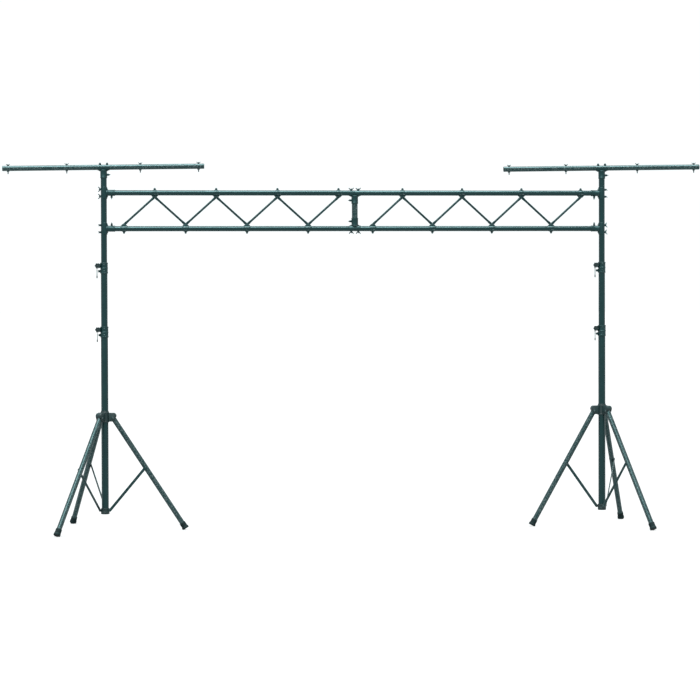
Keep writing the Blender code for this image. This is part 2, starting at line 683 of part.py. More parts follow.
def lacing_body(side):
    """Seven diagonals, with the eight bolts and seats that hold them, along +X from the mast's axis.

    The heights are from the middle of the truss. The node by the mast is low on the left section.
    """
    first_low = side == "left"
    half = (TOP_CHORD_Z - BOTTOM_CHORD_Z) / 2
    ends, parts = [], []
    for k, x in enumerate(node_spots(side)):
        up = -1 if (k % 2 == 0) == first_low else 1
        ends.append((x, up * (half - LACE_OFFSET)))
        inner = half - CHORD_R - GAP - SEAT_WALL / 2
        corners = [(-GUSSET_WIDE, inner), (GUSSET_WIDE, inner)]
        corners += [(GUSSET_NARROW, inner - GUSSET_DEPTH), (-GUSSET_NARROW, inner - GUSSET_DEPTH)]
        outward = placed((x, 0, 0), (0 if up > 0 else 180, 0, 0))
        gusset = plate(corners, -GUSSET_HALF_THICK, GUSSET_HALF_THICK, outward)
        face = half + CHORD_R + GAP + SEAT_WALL / 2
        bolt = rod(TEE_BOLT_R, inner - GUSSET_DEPTH / 2, face + DOME_RIM, 6, outward)
        chord = outward @ placed((0, 0, half))
        seat = seat_body(SEAT_HALF, chord)
        washer = seat_body(WASHER_HALF, chord @ placed(turned_deg=(180, 0, 0)))
        parts.append(join(bolt, dome_nut(face, outward), gusset, seat, washer))
    chain = parts[0]
    for (x0, z0), (x1, z1), part in zip(ends, ends[1:], parts[1:]):
        length = math.hypot(x1 - x0, z1 - z0)
        lean = math.degrees(math.atan2(x1 - x0, z1 - z0))
        along = placed((x0, 0, z0), (0, lean, 0))
        join(chain, rod(LACE_R, -LACE_PAST, length + LACE_PAST, LACE_SIDES, along), part)
    return chain


def t_bar_body():
    """The bar and its four fixture bolts, each with a wing nut above and a hex nut below."""
    bar = tube(BAR_R, BAR_R - BAR_WALL, -BAR_LENGTH / 2, BAR_LENGTH / 2, TUBE_SIDES, ALONG_X)
    spots = [placed((side * TEE_BOLT_X, 0, 0)) for side in (-1, 1)]
    cross_holes(bar, spots, TEE_BOLT_R + HOLE_SLACK, 0.03)
    parts = []
    for x in FIXTURE_X:
        here = placed((x, 0, 0))
        parts.append(rod(FIXTURE_NUT_R, -BAR_R - FIXTURE_NUT, -BAR_R + 0.001, 6, here))
        across = here @ placed(turned_deg=(0, 0, 90))
        low, high = -BAR_R - FIXTURE_BOLT_DROP, BAR_R + FIXTURE_BOLT_PAST
        parts.append(wing_bolt(FIXTURE_BOLT_R, low, BAR_R - 0.0006, high, across, FIXTURE_WING_SCALE))
    return join(bar, *parts)


# ------------------------------------------------------------------ assembly


def build_stand(side, at, meshes, paints):
    """One stand. Returns the empty at the mast's axis on the floor."""
    spread = LEFT_SPREAD if side == "left" else RIGHT_SPREAD
    leg_angle, a_z, pin_r, pin_z = tripod_geometry(spread)
    b_z = foot_collar_z(spread)
    drop = b_z - B_Z  # how much lower this base tube stands
    brace_angle = math.atan2(pin_r - B_RADIUS, pin_z - b_z)
    facing = -INNER_LEG_TURN if side == "left" else 180 + INNER_LEG_TURN

    base = pivot(f"{side}_stand_axis", matrix=placed((TRUSS_X + at, TRUSS_Y, 0)))
    lower_clamp_z = LOWER_CLAMP_Z + drop
    tube_low = b_z + COLLAR_BOTTOM + COLLAR_FLOOR + GAP
    tube_high = lower_clamp_z + CLAMP_STEP_Z - GAP
    base_tube = mast_tube(BASE_R, tube_low, tube_high, [lower_clamp_z + BOSS_Z])
    node(f"{side}_base_tube", mesh_of(base_tube, f"{side}_base_tube", paints["paint"]), base)
    foot_collar = mesh_of(foot_collar_body(facing), f"{side}_foot_collar", paints["plastic"])
    node(f"{side}_foot_collar", foot_collar, base, placed((0, 0, b_z), (0, 0, facing)))
    leg_hub = mesh_of(leg_hub_body(facing), f"{side}_leg_hub", paints["plastic"])
    node(f"{side}_leg_hub", leg_hub, base, placed((0, 0, a_z), (0, 0, facing)))

    foot = mesh_of(foot_body(leg_angle), f"{side}_foot", paints["rubber"])
    for k, name in enumerate(LEG_NAMES[side]):
        around = placed(turned_deg=(0, 0, facing + 120 * k))
        swing = Matrix.Rotation(-leg_angle, 4, "Y")
        at_a = pivot(f"{side}_{name}_leg_pivot", base, around @ placed((A_RADIUS, 0, a_z)) @ swing)
        node(f"{side}_leg_{name}", meshes["leg"], at_a)
        node(f"{side}_foot_{name}", foot, at_a)
        lean = Matrix.Rotation(brace_angle, 4, "Y")
        node(f"{side}_brace_{name}", meshes["brace"], base, around @ placed((B_RADIUS, 0, b_z)) @ lean)

    mid_top = UPPER_CLAMP_Z + CLAMP_STEP_Z - GAP
    mid_low = mid_top - MID_TUBE_LENGTH
    first = mid_top - 0.010 - PIN_HOLE_PITCH
    heights = [first - PIN_HOLE_PITCH * k for k in range(PIN_HOLES)] + [UPPER_CLAMP_Z + BOSS_Z]
    mid_tube = mast_tube(MID_R, mid_low, mid_top, heights)
    node(f"{side}_mid_tube", mesh_of(mid_tube, f"{side}_mid_tube", paints["paint"]), base)
    top_end = T_BAR_Z - BAR_R - TEE_WALL - GAP
    first = BOTTOM_CHORD_Z - TOP_HOLES_DROP
    heights = [first - PIN_HOLE_PITCH * k for k in range(PIN_HOLES - 1)]
    top_tube = mast_tube(TOP_R, top_end - TOP_TUBE_LENGTH, top_end, heights)
    bolt_heights = [z + s * TEE_BOLT_X for z in (TOP_CHORD_Z, BOTTOM_CHORD_Z) for s in (-1, 1)]
    spots = [placed((0, 0, z)) @ ALONG_X for z in bolt_heights]
    cross_holes(top_tube, spots, TEE_BOLT_R + HOLE_SLACK, 0.03)
    node(f"{side}_top_tube", mesh_of(top_tube, f"{side}_top_tube", paints["paint"]), base)

    for level, z in (("lower", lower_clamp_z), ("upper", UPPER_CLAMP_Z)):
        node(f"{side}_{level}_clamp", meshes[f"{level}_clamp"], base, placed((0, 0, z)))
        node(f"{side}_{level}_knob", meshes["knob"], base, placed((STUD_X, 0, z + STUD_Z)))
        node(f"{side}_{level}_pin", meshes["pin"], base, placed((TAB_X, TAB_Y, z + TAB_HOLE_Z)))

    to_sleeve = BAR_R + TEE_WALL + TEE_SLEEVE / 2
    lean = placed((0, 0, T_BAR_Z - to_sleeve), (0, -T_BAR_TILT, 0)) @ placed((0, 0, to_sleeve))
    swivel = pivot(f"{side}_t_bar_swivel", base, lean)
    node(f"{side}_t_bar", meshes["t_bar"], swivel)
    node(f"{side}_t_bar_tee", meshes["t_bar_tee"], swivel)
    screw_z = -BAR_R - TEE_WALL - TEE_SCREW_DEPTH
    node(f"{side}_t_bar_screw", meshes["screw"], swivel, placed((0, 0, screw_z), (0, 90, 0)))
    return base


def build_truss(stands, meshes, paints):
    """The two sections, the tees on the masts, and the post between the sections."""
    levels = (("top", TOP_CHORD_Z, -1), ("bottom", BOTTOM_CHORD_Z, 1))
    for side, turn, hand in (("left", -90, 1), ("right", 90, -1)):
        for level, z, screw in levels:
            tee = meshes["tee_plus"] if screw * hand > 0 else meshes["tee_minus"]
            node(f"{side}_{level}_tee", tee, stands[side], placed((0, 0, z), (0, turn, 0)))
            low = (level == "bottom") == (side == "left")
            spots = node_spots(side)[0::2] if low else node_spots(side)[1::2]
            chord = chord_body(spots, side == "right")
            node(f"{side}_{level}_chord", mesh_of(chord, f"{side}_{level}_chord", paints["paint"]),
                 stands[side], placed((0, 0, z)))
        lacing = lacing_body(side)
        if side == "right":
            moved(lacing, placed(turned_deg=(0, 0, 180)))
        middle_z = (TOP_CHORD_Z + BOTTOM_CHORD_Z) / 2
        node(f"{side}_lacing", mesh_of(lacing, f"{side}_lacing", paints["paint"]),
             stands[side], placed((0, 0, middle_z)))
    middle = pivot("truss_middle", matrix=placed((TRUSS_X, TRUSS_Y, 0)))
    node("middle_top_tee", meshes["middle_tee"], middle, placed((0, 0, TOP_CHORD_Z)))
    node("middle_bottom_tee", meshes["middle_tee"], middle, placed((0, 0, BOTTOM_CHORD_Z), (180, 0, 0)))
    reach = CHORD_R + TEE_WALL + GAP
    post = tube(POST_R, POST_R - MAST_WALL, BOTTOM_CHORD_Z + reach, TOP_CHORD_Z - reach, TUBE_SIDES)
    node("middle_post", mesh_of(post, "middle_post", paints["paint"]), middle)


def main():
    for obj in list(bpy.data.objects):
        bpy.data.objects.remove(obj)
    paints = {
        "paint": paint("teal_paint", (0.028, 0.066, 0.068), 0.42, 0.0),
        "casting": paint("cast_fitting", (0.034, 0.076, 0.078), 0.5, 0.0),
        "plastic": paint("moulded_plastic", (0.040, 0.080, 0.082), 0.55, 0.0),
        "zinc": paint("zinc_plate", (0.55, 0.66, 0.68), 0.32, 1.0),
        "rubber": paint("rubber", (0.036, 0.068, 0.070), 0.75, 0.0),
    }
    meshes = {
        "leg": mesh_of(leg_body(), "leg", paints["paint"]),
        "brace": mesh_of(brace_body(), "brace", paints["paint"]),
        "lower_clamp": mesh_of(clamp_body(BASE_R, MID_R), "lower_clamp", paints["casting"]),
        "upper_clamp": mesh_of(clamp_body(MID_R, TOP_R), "upper_clamp", paints["casting"]),
        "knob": mesh_of(knob_body(), "knob", paints["plastic"]),
        "pin": mesh_of(pin_body(), "pin", paints["zinc"]),
        "t_bar": mesh_of(t_bar_body(), "t_bar", paints["paint"]),
        "t_bar_tee": mesh_of(tee_body(BAR_R, TOP_R, 0, SWIVEL_GAP), "t_bar_tee", paints["casting"]),
        "screw": mesh_of(screw_body(TOP_R, TOP_R + TEE_WALL), "screw", paints["zinc"]),
        "tee_plus": mesh_of(tee_body(TOP_R, CHORD_R, 1), "tee_plus", paints["casting"]),
        "tee_minus": mesh_of(tee_body(TOP_R, CHORD_R, -1), "tee_minus", paints["casting"]),
        "middle_tee": mesh_of(tee_body(CHORD_R, POST_R, -1, spigot=True), "middle_tee", paints["casting"]),
    }
    stands = {
        "left": build_stand("left", -SPAN / 2, meshes, paints),
        "right": build_stand("right", SPAN / 2, meshes, paints),
    }
    build_truss(stands, meshes, paints)


main()
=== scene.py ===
"""Looks for the lighting truss on two tripod stands: detailed pieces, materials, floor, light and camera.

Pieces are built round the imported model's bodies, in metres. Each stand's mast axis and each joint's
place come from the frame; the other dimensions repeat the model's own.
"""

import json
from math import asin, atan2, cos, degrees, hypot, pi, radians, sin

import bmesh
import bpy
from mathutils import Euler, Matrix, Vector


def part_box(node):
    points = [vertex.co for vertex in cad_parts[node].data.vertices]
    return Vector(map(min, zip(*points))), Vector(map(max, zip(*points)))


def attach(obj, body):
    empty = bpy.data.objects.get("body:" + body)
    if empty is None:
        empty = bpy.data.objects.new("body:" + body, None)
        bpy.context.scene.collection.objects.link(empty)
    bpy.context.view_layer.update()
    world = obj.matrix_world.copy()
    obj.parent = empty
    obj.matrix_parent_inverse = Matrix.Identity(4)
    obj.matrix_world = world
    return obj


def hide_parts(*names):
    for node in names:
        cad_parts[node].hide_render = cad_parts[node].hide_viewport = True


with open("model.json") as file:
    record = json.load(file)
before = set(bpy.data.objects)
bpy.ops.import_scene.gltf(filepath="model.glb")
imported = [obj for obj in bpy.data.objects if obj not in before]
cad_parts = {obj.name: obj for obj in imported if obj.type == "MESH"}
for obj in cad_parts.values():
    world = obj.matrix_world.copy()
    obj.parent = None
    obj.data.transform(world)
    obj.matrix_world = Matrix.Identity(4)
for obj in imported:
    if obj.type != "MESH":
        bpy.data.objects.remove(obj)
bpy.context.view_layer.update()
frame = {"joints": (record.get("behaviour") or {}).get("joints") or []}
JOINTS = {joint["name"]: joint for joint in frame["joints"]}

# ---- dimensions, as in the model
SPAN = 3.054
TOP_R, MID_R, BASE_R = 0.0183, 0.02, 0.0217
MAST_WALL = 0.0013
PIN_HOLE_R, PIN_HOLE_DEPTH = 0.0041, 0.008
PIN_HOLE_STEP, MID_FIRST_HOLE, TOP_FIRST_HOLE = 0.12, 0.13, 0.054
BAR_R, BAR_WALL = 0.016, 0.0016
BAR_LENGTH = 1.22
T_BAR_TILT = 0.75  # degrees
T_BAR_Z = 2.203
CHORD_R, CHORD_WALL = 0.016, 0.0015
POST_R = 0.018
FIXTURE_X, FIXTURE_BOLT_R = (-0.575, -0.222, 0.222, 0.575), 0.0033
TEE_HALF, TEE_WALL, TEE_SLEEVE = 0.036, 0.003, 0.046
TEE_BOLT_X = 0.0215
TEE_SCREW_DEPTH = 0.026
SCREW_STAND = 0.0034  # from a tee's sleeve to its lock screw's wings
WEB = 0.008  # size of a tee's corner webs
CHORD_END_GAP = 0.0005
CHORD_START = TOP_R + TEE_WALL + 0.0012
NODE_PITCH = {"left": 0.1866, "right": 0.1836}
NODES = 8
LACE_R, LACE_OFFSET = 0.0066, 0.0245
NODE_BOLT_HOLE_R = 0.0035
GUSSET_LOW = 0.0124  # from a chord's underside to the bolt head on the gusset's lug
SEAT_HALF, WASHER_HALF, SEAT_WALL = 0.021, 0.013, 0.002
SEAT_REACH = 65  # degrees round the chord, to each side
SMALL_WING_NUT = 0.73  # the fixture bolts' wing nuts, beside the tees'
WING_TURNS = {-1: 60, 1: 15}  # degrees, by the side of a tee's lock screw

LEG_R, LEG_WALL, LEG_LENGTH, LEG_STUB = 0.0157, 0.0015, 0.805, 0.008
A_RADIUS, B_RADIUS = 0.05, 0.03
BRACE_ON_LEG = 0.36
RIVET_SUNK = 0.0003
FOOT_R, FOOT_LENGTH, FOOT_TRIM = 0.0215, 0.042, 0.004
SPREAD = {"left": 0.49, "right": 0.444}
INNER_LEG_TURN = 3.9  # degrees that each tripod is turned from the truss's line
LEG_NAMES = {"left": ("inner", "rear", "front"), "right": ("inner", "front", "rear")}
BRACE_IN, BRACE_OUT, BRACE_HALF_WIDTH = 0.016, 0.019, 0.0085
CHEEK_IN, CHEEK_OUT = 0.0163, 0.0196
HUB_R, HUB_TOP, HUB_BOTTOM = 0.0275, 0.042, -0.026
HOUSING_TOP, HOUSING_DROP, HOUSING_REACH, HOUSING_CORNER = 0.031, 0.022, 0.02, 0.018
HOUSING_INNER, HOUSING_LIP, HOUSING_TOE, HOUSING_SHEET = 0.024, 0.01, 0.008, 0.003
BOSS_DISC_R = 0.0085  # the discs round the leg pivots on the housings' cheeks
COLLAR_R, COLLAR_TOP, COLLAR_BOTTOM = 0.026, 0.012, -0.024

CLAMP_HALF, CLAMP_WALL, CLAMP_WAIST, CLAMP_RIVET_Z = 0.033, 0.0034, 0.0012, 0.019
STUD_X, STUD_Z = -0.0395, 0.014
EAR_X, EAR_LOW, EAR_HIGH, EAR_HALF_THICK = -0.0475, 0.001, 0.027, 0.01
BOSS_X, BOSS_Z, BOSS_R = -0.036, -0.019, 0.007
TAB_X, TAB_Y, TAB_HOLE_Z = -0.043, -0.0055, -0.0035
KNOB_R, KNOB_LOBE, KNOB_LOBES = 0.0155, 0.0015, 6
KNOB_NEAR, KNOB_FAR = 0.0125, 0.0275
RING_R, RING_WIRE, PIN_R, PIN_LENGTH = 0.0065, 0.0011, 0.0034, 0.049
SLIDE_GAP = 0.0004
ROUND = 40  # sides of a visible tube
CUT = 0.1  # more than any cutter has to reach
MERGE = 0.000002  # points nearer than this become one

# ---- matrices and temporary shapes


def placed(location=(0, 0, 0), turned=(0, 0, 0)):
    """A matrix from a place and Euler angles in degrees."""
    angles = Euler([radians(a) for a in turned])
    return Matrix.Translation(location) @ angles.to_matrix().to_4x4()


def about_z(angle):
    return placed(turned=(0, 0, angle))


ALONG_X = placed(turned=(0, 90, 0))
ALONG_Y = placed(turned=(-90, 0, 0))
FACING_FRONT = placed(turned=(90, 0, 0))  # carries +Z to -Y
UPSIDE_DOWN = placed(turned=(180, 0, 0))


def shown(name, data):
    """A new object in the scene."""
    obj = bpy.data.objects.new(name, data)
    bpy.context.scene.collection.objects.link(obj)
    return obj


def solid(bm, matrix=None):
    """The object of a finished shape."""
    if matrix is not None:
        bmesh.ops.transform(bm, matrix=matrix, verts=bm.verts)
    bmesh.ops.recalc_face_normals(bm, faces=bm.faces)
    mesh = bpy.data.meshes.new("shape")
    bm.to_mesh(mesh)
    bm.free()
    return shown("shape", mesh)


def loft(rings, closed=False, matrix=None):
    """Skins a list of point rings. Open ends are filled, and a one-point ring is a tip."""
    bm = bmesh.new()
    loops = [[bm.verts.new(point) for point in ring] for ring in rings]
    pairs = list(zip(loops, loops[1:]))
    if closed:
        pairs.append((loops[-1], loops[0]))
    for low, high in pairs:
        count = max(len(low), len(high))
        for k in range(count):
            n = (k + 1) % count
            corners = [low[k % len(low)], low[n % len(low)], high[n % len(high)], high[k % len(high)]]
            bm.faces.new(list(dict.fromkeys(corners)))
    if not closed:
        for end in (loops[0], loops[-1]):
            if len(end) > 2:
                bm.faces.new(end)
    return solid(bm, matrix)


def circle(radius, z, sides):
    """The points of a ring round Z. A ring of no radius is one point."""
    if radius == 0:
        return [(0, 0, z)]
    steps = [2 * pi * (k + 0.5) / sides for k in range(sides)]
    return [(radius * cos(a), radius * sin(a), z) for a in steps]


def lathe(profile, sides=ROUND, matrix=None, hollow=False):
    """A profile of (radius, z) points turned about Z."""
    return loft([circle(radius, z, sides) for radius, z in profile], hollow, matrix)


def rod(radius, z0, z1, sides=ROUND, matrix=None, edge=0.0):
    """A round bar with its two edges taken off by edge."""
    if not edge:
        return lathe([(0, z0), (radius, z0), (radius, z1), (0, z1)], sides, matrix)
    profile = [(0, z0), (radius - edge, z0), (radius - 0.3 * edge, z0 + 0.3 * edge), (radius, z0 + edge)]
    profile += [(radius, z1 - edge), (radius - 0.3 * edge, z1 - 0.3 * edge), (radius - edge, z1), (0, z1)]
    return lathe(profile, sides, matrix)


def tube(outer, inner, z0, z1, sides=ROUND, matrix=None):
    """An open tube whose cut ends are broken by a small radius."""
    edge = 0.3 * (outer - inner)
    profile = [(outer, z0 + edge), (outer, z1 - edge), (outer - edge, z1), (inner + edge, z1)]
    profile += [(inner, z1 - edge), (inner, z0 + edge), (inner + edge, z0), (outer - edge, z0)]
    return lathe(profile, sides, matrix, hollow=True)


def arc(centre_x, centre_z, radius, start, end, steps):
    """Points (x, z) on an arc, between two angles in degrees."""
    angles = [radians(start + (end - start) * k / steps) for k in range(steps + 1)]
    return [(centre_x + radius * cos(a), centre_z + radius * sin(a)) for a in angles]


def inset(outline, amount):
    """An outline of (x, z) points drawn in by amount, square to its edges."""
    area = sum(a[0] * b[1] - b[0] * a[1] for a, b in zip(outline, outline[1:] + outline[:1]))
    side = 1 if area > 0 else -1
    result = []
    count = len(outline)
    for k in range(count):
        before = Vector(outline[k]) - Vector(outline[k - 1])
        after = Vector(outline[(k + 1) % count]) - Vector(outline[k])
        before.normalize()
        after.normalize()
        normal_a = Vector((-before.y, before.x)) * side
        normal_b = Vector((-after.y, after.x)) * side
        middle = normal_a + normal_b
        middle /= max(0.35, middle.dot(normal_a))
        result.append(tuple(Vector(outline[k]) + middle * amount))
    return result


def slab(outline, y0, y1, edge=0.0006, matrix=None):
    """An outline of (x, z) points carried from y0 to y1, with rounded rims."""
    steps = [(edge, y0), (0.3 * edge, y0 + 0.3 * edge), (0, y0 + edge)]
    steps += [(0, y1 - edge), (0.3 * edge, y1 - 0.3 * edge), (edge, y1)]
    if not edge:
        steps = [(0, y0), (0, y1)]
    rings = [[(x, y, z) for x, z in inset(outline, amount)] for amount, y in steps]
    return loft(rings, False, matrix)


def block(low, high):
    (x0, y0, z0), (x1, y1, z1) = low, high
    return slab([(x0, z0), (x1, z0), (x1, z1), (x0, z1)], y0, y1, 0.0)


def torus(radius, wire, steps, sides, matrix=None):
    rings = []
    for i in range(steps):
        turn = 2 * pi * i / steps
        ring = []
        for k in range(sides):
            angle = 2 * pi * k / sides
            reach = radius + wire * cos(angle)
            ring.append((reach * cos(turn), reach * sin(turn), wire * sin(angle)))
        rings.append(ring)
    return loft(rings, True, matrix)


def tidied(mesh):
    """Merges points that all but coincide. Returns whether the mesh is then one closed surface."""
    bm = bmesh.new()
    bm.from_mesh(mesh)
    bmesh.ops.remove_doubles(bm, verts=bm.verts, dist=MERGE)
    bmesh.ops.dissolve_degenerate(bm, edges=bm.edges, dist=MERGE)
    whole = all(len(edge.link_faces) == 2 for edge in bm.edges)
    bm.to_mesh(mesh)
    bm.free()
    return whole


def baked(obj):
    """(mesh, whether it is closed) of an object with its modifier applied."""
    graph = bpy.context.evaluated_depsgraph_get()
    mesh = bpy.data.meshes.new_from_object(obj.evaluated_get(graph))
    obj.modifiers.clear()
    return mesh, tidied(mesh)


def boolean(obj, others, operation):
    """Applies each Boolean, with the manifold solver where the exact one leaves a gap."""
    for other in others:
        for solver in ("EXACT", "MANIFOLD"):
            modifier = obj.modifiers.new("boolean", "BOOLEAN")
            modifier.operation = operation
            modifier.solver = solver
            modifier.object = other
            mesh, whole = baked(obj)
            if whole:
                break
        obj.data = mesh
        bpy.data.objects.remove(other)
    return obj


def join(obj, *others):
    return boolean(obj, others, "UNION")


def cut(obj, *others):
    return boolean(obj, others, "DIFFERENCE")


def moved(obj, matrix):
    obj.data.transform(matrix)
    return obj


def taken(obj, bevel=0.0, sharp=35):
    """The mesh of a temporary object, with its hard edges rounded by bevel."""
    if bevel:
        modifier = obj.modifiers.new("bevel", "BEVEL")
        modifier.width = bevel
        modifier.segments = 2
        modifier.limit_method = "ANGLE"
        modifier.angle_limit = radians(40)
        modifier.use_clamp_overlap = True
        mesh, whole = baked(obj)
        if whole:
            obj.data = mesh
    mesh = obj.data
    bpy.data.objects.remove(obj)
    mesh.shade_smooth()
    mesh.set_sharp_from_angle(angle=radians(sharp))
    return mesh


# ---- materials


COAT_SPECULAR = 0.42
GLOSS_TINT = (0.52, 0.98, 1.0)
ROOM_TINT = (1.01, 1.06, 1.07)


class Nodes:
    """Short calls for building a material's node tree."""

    def __init__(self, name):
        self.material = bpy.data.materials.new(name)
        self.material.use_nodes = True
        self.tree = self.material.node_tree
        self.shader = self.tree.nodes["Principled BSDF"]

    def node(self, kind, **settings):
        made = self.tree.nodes.new(kind)
        for key, value in settings.items():
            setattr(made, key, value)
        return made

    def link(self, source, target):
        self.tree.links.new(source, target)

    def feed(self, value, socket):
        """Sets a socket to a number or a colour, or links an output to it."""
        if isinstance(value, tuple):
            socket.default_value = (*value, 1.0)
        elif isinstance(value, (int, float)):
            socket.default_value = value
        else:
            self.link(value, socket)

    def place(self, scale=(1, 1, 1)):
        """Object coordinates, stretched by scale."""
        coordinates = self.node("ShaderNodeTexCoord")
        mapping = self.node("ShaderNodeMapping")
        mapping.inputs["Scale"].default_value = scale
        self.link(coordinates.outputs["Object"], mapping.inputs["Vector"])
        return mapping.outputs["Vector"]

    def noise(self, scale, detail=2.0, stretch=(1, 1, 1)):
        made = self.node("ShaderNodeTexNoise")
        made.inputs["Scale"].default_value = scale
        made.inputs["Detail"].default_value = detail
        self.link(self.place(stretch), made.inputs["Vector"])
        return made.outputs["Fac"]

    def spread(self, value, low, high, out_low=0.0, out_high=1.0):
        """Carries low..high of a value to out_low..out_high."""
        made = self.node("ShaderNodeMapRange")
        limits = (("From Min", low), ("From Max", high), ("To Min", out_low), ("To Max", out_high))
        for socket, limit in (*limits, ("Value", value)):
            self.feed(limit, made.inputs[socket])
        return made.outputs["Result"]

    def cloudy(self, scale, detail, out_low=0.0, out_high=1.0):
        """Noise, carried from the middle of its range to out_low..out_high."""
        return self.spread(self.noise(scale, detail), 0.3, 0.7, out_low, out_high)

    def mix(self, factor, first, second):
        """Mixes two colours. Each is a colour or an output."""
        made = self.node("ShaderNodeMix", data_type="RGBA")
        self.link(factor, made.inputs["Factor"])
        self.feed(first, made.inputs[6])
        self.feed(second, made.inputs[7])
        return made.outputs[2]

    def maths(self, operation, first, second):
        made = self.node("ShaderNodeMath", operation=operation)
        self.feed(first, made.inputs[0])
        self.feed(second, made.inputs[1])
        return made.outputs[0]

    def edges(self, low=0.53, high=0.62):
        """1 on convex edges, where finish rubs off."""
        geometry = self.node("ShaderNodeNewGeometry")
        return self.spread(geometry.outputs["Pointiness"], low, high)

    def bump(self, height, strength, distance):
        made = self.node("ShaderNodeBump")
        made.inputs["Strength"].default_value = strength
        made.inputs["Distance"].default_value = distance
        self.link(height, made.inputs["Height"])
        self.link(made.outputs["Normal"], self.shader.inputs["Normal"])

    def finish(self, colour, roughness, metallic=0.0, specular=0.5):
        self.link(colour, self.shader.inputs["Base Color"])
        self.link(roughness, self.shader.inputs["Roughness"])
        self.shader.inputs["Metallic"].default_value = metallic
        self.shader.inputs["Specular IOR Level"].default_value = specular
        return self.material


def scaled(colour, factor):
    return tuple(channel * factor for channel in colour)


def coated(name, colour, roughness, rubbed=False, grain=1400):
    """Powder coat: orange peel, cloudy tone, chipped edges and, on sliding tubes, lengthwise rub marks.

    The gloss fades where the surface turns away.
    """
    made = Nodes(name)
    clouds = made.noise(14, 4)
    tone = made.mix(made.spread(clouds, 0.3, 0.7), scaled(colour, 0.82), scaled(colour, 1.22))
    dust = made.spread(made.noise(160, 3), 0.56, 0.74, 0.0, 0.2)
    tone = made.mix(dust, tone, scaled(colour, 1.7))
    chips = made.maths("MULTIPLY", made.edges(), made.spread(made.noise(220, 3), 0.5, 0.62))
    bare = (0.22, 0.26, 0.26)
    tone = made.mix(made.maths("MULTIPLY", chips, 0.6), tone, bare)
    rough = made.cloudy(60, 3, roughness - 0.07, roughness + 0.1)
    if rubbed:
        streaks = made.spread(made.noise(1, 2, (700, 700, 5)), 0.58, 0.72)
        tone = made.mix(made.maths("MULTIPLY", streaks, 0.35), tone, scaled(colour, 3.0))
        rough = made.maths("SUBTRACT", rough, made.maths("MULTIPLY", streaks, 0.12))
    made.bump(made.noise(grain, 2), 0.08, 0.0002)
    facing = made.node("ShaderNodeLayerWeight").outputs["Facing"]
    gloss = made.spread(facing, 0.45, 0.9, COAT_SPECULAR, COAT_SPECULAR * 0.1)
    made.link(gloss, made.shader.inputs["Specular IOR Level"])
    made.shader.inputs["Specular Tint"].default_value = (*GLOSS_TINT, 1.0)
    return made.finish(tone, rough)


def moulded(name, colour, roughness):
    """Moulded plastic with a spark-eroded grain and paler rubbed edges."""
    made = Nodes(name)
    tone = made.mix(made.cloudy(30, 3), scaled(colour, 0.85), scaled(colour, 1.18))
    tone = made.mix(made.maths("MULTIPLY", made.edges(0.52, 0.6), 0.4), tone, scaled(colour, 2.4))
    rough = made.cloudy(90, 2, roughness - 0.06, roughness + 0.08)
    made.bump(made.noise(2600, 1), 0.35, 0.0002)
    return made.finish(tone, rough, 0.0, 0.35)


def rubbery(name, colour):
    """Rubber: matt, with dust in its pores and scuffs."""
    made = Nodes(name)
    scuffs = made.spread(made.noise(70, 5), 0.52, 0.72, 0.0, 0.5)
    tone = made.mix(scuffs, colour, scaled(colour, 2.2))
    rough = made.cloudy(120, 3, 0.68, 0.88)
    made.bump(made.noise(1800, 3), 0.5, 0.0003)
    return made.finish(tone, rough, 0.0, 0.2)


def plated(name, colour, roughness):
    """Zinc plate: bright metal with a cloudy, faintly coloured passivation and drawn lines."""
    made = Nodes(name)
    clouds = made.cloudy(120, 3)
    warm = (colour[0] * 1.06, colour[1] * 0.98, colour[2] * 0.84)
    tone = made.mix(clouds, colour, warm)
    lines = made.noise(1, 2, (2500, 2500, 60))
    rough = made.spread(lines, 0.3, 0.7, roughness - 0.08, roughness + 0.14)
    made.bump(lines, 0.15, 0.0001)
    return made.finish(tone, rough, 1.0, 0.5)


TEAL = (0.0003, 0.0074, 0.0079)
MATERIALS = {
    "coat": coated("powder_coat", TEAL, 0.26),
    "slider": coated("rubbed_powder_coat", TEAL, 0.26, rubbed=True),
    "casting": coated("cast_fitting", scaled(TEAL, 1.15), 0.42, grain=900),
    "plastic": moulded("moulded_plastic", scaled(TEAL, 1.5), 0.5),
    "rubber": rubbery("foot_rubber", scaled(TEAL, 1.1)),
    "zinc": plated("zinc_plate", (0.26, 0.33, 0.345), 0.34),
    "fastener": coated("blackened_fastener", scaled(TEAL, 1.2), 0.34, grain=2200),
    "tip": moulded("pin_grip", scaled(TEAL, 0.9), 0.45),
}


def piece(name, mesh, finish, body, matrix, stands_for=()):
    """A visible piece that rides on a body. Its mesh is given, or named if pieces share it."""
    mesh = MESHES.get(mesh, mesh)
    key = f"{mesh.name}.{finish}"
    if mesh.materials and mesh.materials[0] is not MATERIALS[finish]:
        mesh = bpy.data.meshes.get(key) or mesh.copy()
        mesh.name = key
        mesh.materials.clear()
    if not mesh.materials:
        mesh.materials.append(MATERIALS[finish])
    obj = shown(name, mesh)
    obj.matrix_world = matrix
    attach(obj, body)
    if stands_for:
        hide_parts(*stands_for)
    return obj


# ---- fasteners


def hexagon(across_corners, z0, z1, matrix=None):
    """A hexagonal nut or head on Z, with its corners turned off."""
    r, edge = across_corners / 2, 0.1 * across_corners
    profile = [(0, z0), (r - edge * 0.6, z0), (r, z0 + edge * 0.4)]
    profile += [(r, z1 - edge * 0.4), (r - edge * 0.6, z1), (0, z1)]
    return lathe(profile, 6, matrix)


